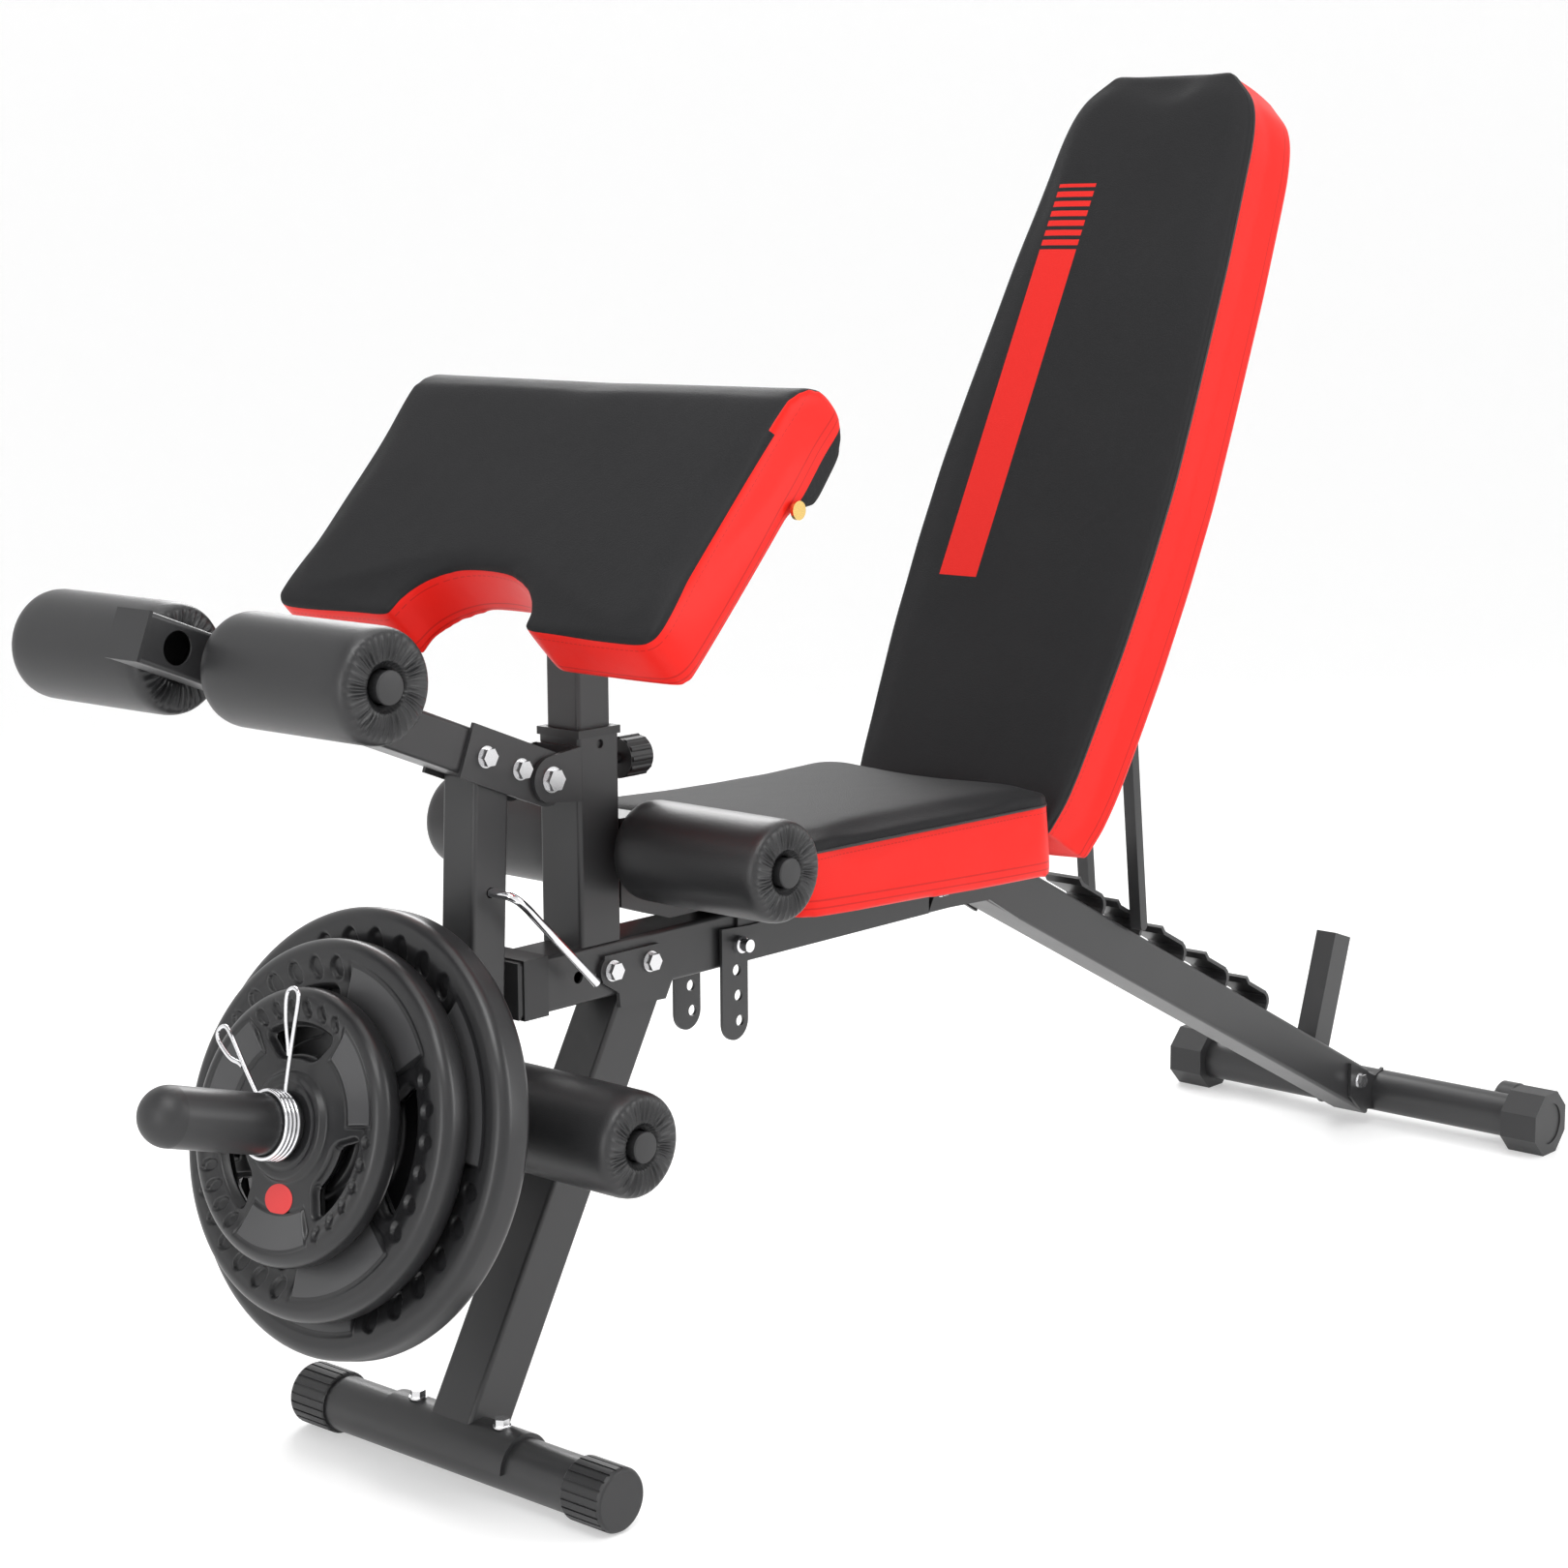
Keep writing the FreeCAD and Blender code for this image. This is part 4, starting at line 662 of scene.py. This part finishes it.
for size, radius, low, thick, turn in (("large", 0.187, 0.098, 0.037, -5),
                                       ("medium", 0.157, 0.136, 0.032, 30),
                                       ("small", 0.114, 0.169, 0.028, 5)):
    weight_plate(f"{size}_weight", f"plate_{size}", f"{size}_plate", radius, low, thick, turn)

# the small plate's blank oval label
label_v, a = [(0.0, 0.0, 0.0)], math.radians(-175)
LABEL_SIDES, LABEL_AT, LABEL_Z = 48, 0.059, 0.1917
for k in range(LABEL_SIDES):
    t = 2 * math.pi * k / LABEL_SIDES
    label_v.append((0.0125 * math.cos(t), 0.0165 * math.sin(t), 0))
label = mesh_object("label", label_v, [(0, k + 1, (k + 1) % LABEL_SIDES + 1)
                                     for k in range(LABEL_SIDES)])
label.matrix_world = peg_frame @ Matrix.Translation(
    (LABEL_AT * math.cos(a), LABEL_AT * math.sin(a), LABEL_Z)) @ Matrix.Rotation(a, 4, "Z")
set_material(label, sticker)
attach(label, "small_plate")

# ---------------------------------------------------------------- spring collar
COIL_R, COIL_START, COIL_PITCH, TURN_STEPS = 0.0276, 0.2015, 0.0042, 30
coil = []
for k in range(4 * TURN_STEPS + 1):
    t = 2 * math.pi * k / TURN_STEPS
    z = COIL_START + COIL_PITCH * k / TURN_STEPS
    coil.append(peg_frame @ Vector((COIL_R * math.cos(t), COIL_R * math.sin(t), z)))
collar = tube("collar_coil", coil, 0.0021, "collar", chrome)
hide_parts("spring_collar")
for i, (turn, z, far) in enumerate(((3, 0.203, 0.112), (48, 0.214, 0.100))):
    ca, sa = math.cos(math.radians(turn)), math.sin(math.radians(turn))
    path = [(COIL_R, -0.004), (0.045, -0.0042), (far - 0.03, -0.006), (far - 0.012, -0.0075),
            (far - 0.003, -0.0065), (far, 0.0), (far - 0.003, 0.0065), (far - 0.012, 0.0075),
            (far - 0.03, 0.0045), (0.062, -0.0022), (0.057, -0.0030)]
    pts = [peg_frame @ Vector((u * ca - w * sa, u * sa + w * ca, z + (u - COIL_R) * 0.05))
           for u, w in path]
    tube(f"collar_loop{i}", pts, 0.0019, "collar", chrome)

# ---------------------------------------------------------------- lock rod
rod_lo, rod_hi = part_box("lock_rod")
ROD_HALF = 0.004
x0, z0 = rod_lo.x + ROD_HALF, rod_hi.z - ROD_HALF
rod_path = [(x0, -0.014, z0), (x0, -0.030, z0), (x0 + 0.001, -0.044, z0),
            (x0 + 0.012, -0.0485, z0 - 0.009), (x0 + 0.030, -0.048, z0 - 0.027),
            (rod_hi.x - ROD_HALF, -0.048, rod_lo.z + ROD_HALF)]
rod = tube("lock_rod_bent", rod_path, 0.0039, "lock_rod", chrome, steps=16)
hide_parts("lock_rod")

# ---------------------------------------------------------------- floor, light, camera
# a pale floor that curves up into a far wall all round
FLAT_R, CURVE_R, WALL_TOP = 4.0, 2.5, 7.0
sweep_v, sweep_f, turns = [], [], 64
sweep = [(0.0, 0.0), (FLAT_R, 0.0)]
sweep += [(FLAT_R + CURVE_R * math.sin(t), CURVE_R - CURVE_R * math.cos(t))
          for t in np.linspace(0.15, math.pi / 2, 10)]
sweep += [(FLAT_R + CURVE_R, WALL_TOP)]
for r, z in sweep:
    sweep_v += [(r * math.cos(2 * math.pi * k / turns), r * math.sin(2 * math.pi * k / turns),
                 z - 0.0005) for k in range(turns)]
for i in range(len(sweep) - 1):
    for k in range(turns):
        m = (k + 1) % turns
        sweep_f.append((i * turns + k, i * turns + m, (i + 1) * turns + m, (i + 1) * turns + k))
floor = mesh_object("floor", sweep_v, sweep_f)
pale, tree, bsdf = new_material("pale_floor")
bsdf.inputs["Base Color"].default_value = (0.62, 0.62, 0.62, 1)
bsdf.inputs["Roughness"].default_value = 0.6
bsdf.inputs["Emission Color"].default_value = (1, 1, 1, 1)
bsdf.inputs["Emission Strength"].default_value = 0.42
floor.data.materials.append(pale)

scene = bpy.context.scene
world = bpy.data.worlds.new("studio")
world.use_nodes = True
world.node_tree.nodes["Background"].inputs["Color"].default_value = (1, 1, 1, 1)
world.node_tree.nodes["Background"].inputs["Strength"].default_value = 0.40
scene.world = world


def area(name, place, target, size, power, size_y=None):
    data = bpy.data.lights.new(name, "AREA")
    data.energy, data.size = power, size
    if size_y:
        data.shape, data.size_y = "RECTANGLE", size_y
    obj = bpy.data.objects.new(name, data)
    obj.location = place
    obj.rotation_mode = "QUATERNION"
    obj.rotation_quaternion = (Vector(target) - Vector(place)).to_track_quat("-Z", "Y")
    scene.collection.objects.link(obj)


area("key", (-1.6, -1.0, 3.0), (-0.1, 0, 0.5), 1.4, 42)
area("side", (1.2, -2.6, 1.5), (0.1, 0, 0.5), 0.7, 24, 1.8)
area("rim", (1.6, 2.1, 2.2), (0, 0, 0.6), 1.4, 44)
area("front", (-3.2, -0.6, 1.0), (-0.5, 0, 0.4), 0.6, 14, 1.6)
area("overhead", (0.2, 0.2, 3.6), (0, 0, 0), 3.2, 46)

EYE = (-2.40306, -1.94606, 1.06824)
cam_data = bpy.data.cameras.new("camera")
cam_data.sensor_width, cam_data.lens = 36.0, 72.9
cam_data.shift_x, cam_data.shift_y = 0.0, -0.009
cam_data.clip_start, cam_data.clip_end = 0.05, 60
camera = bpy.data.objects.new("camera", cam_data)
yaw, pitch, lean = math.radians(48.67), math.radians(-9.68), math.radians(0.29)
ahead = Vector((math.sin(yaw) * math.cos(pitch), math.cos(yaw) * math.cos(pitch),
                math.sin(pitch)))
camera.rotation_mode = "QUATERNION"
camera.rotation_quaternion = (ahead.to_track_quat("-Z", "Y")
                              @ Matrix.Rotation(-lean, 3, "Z").to_quaternion())
camera.location = EYE
scene.collection.objects.link(camera)
scene.camera = camera
scene.view_settings.view_transform = "Standard"
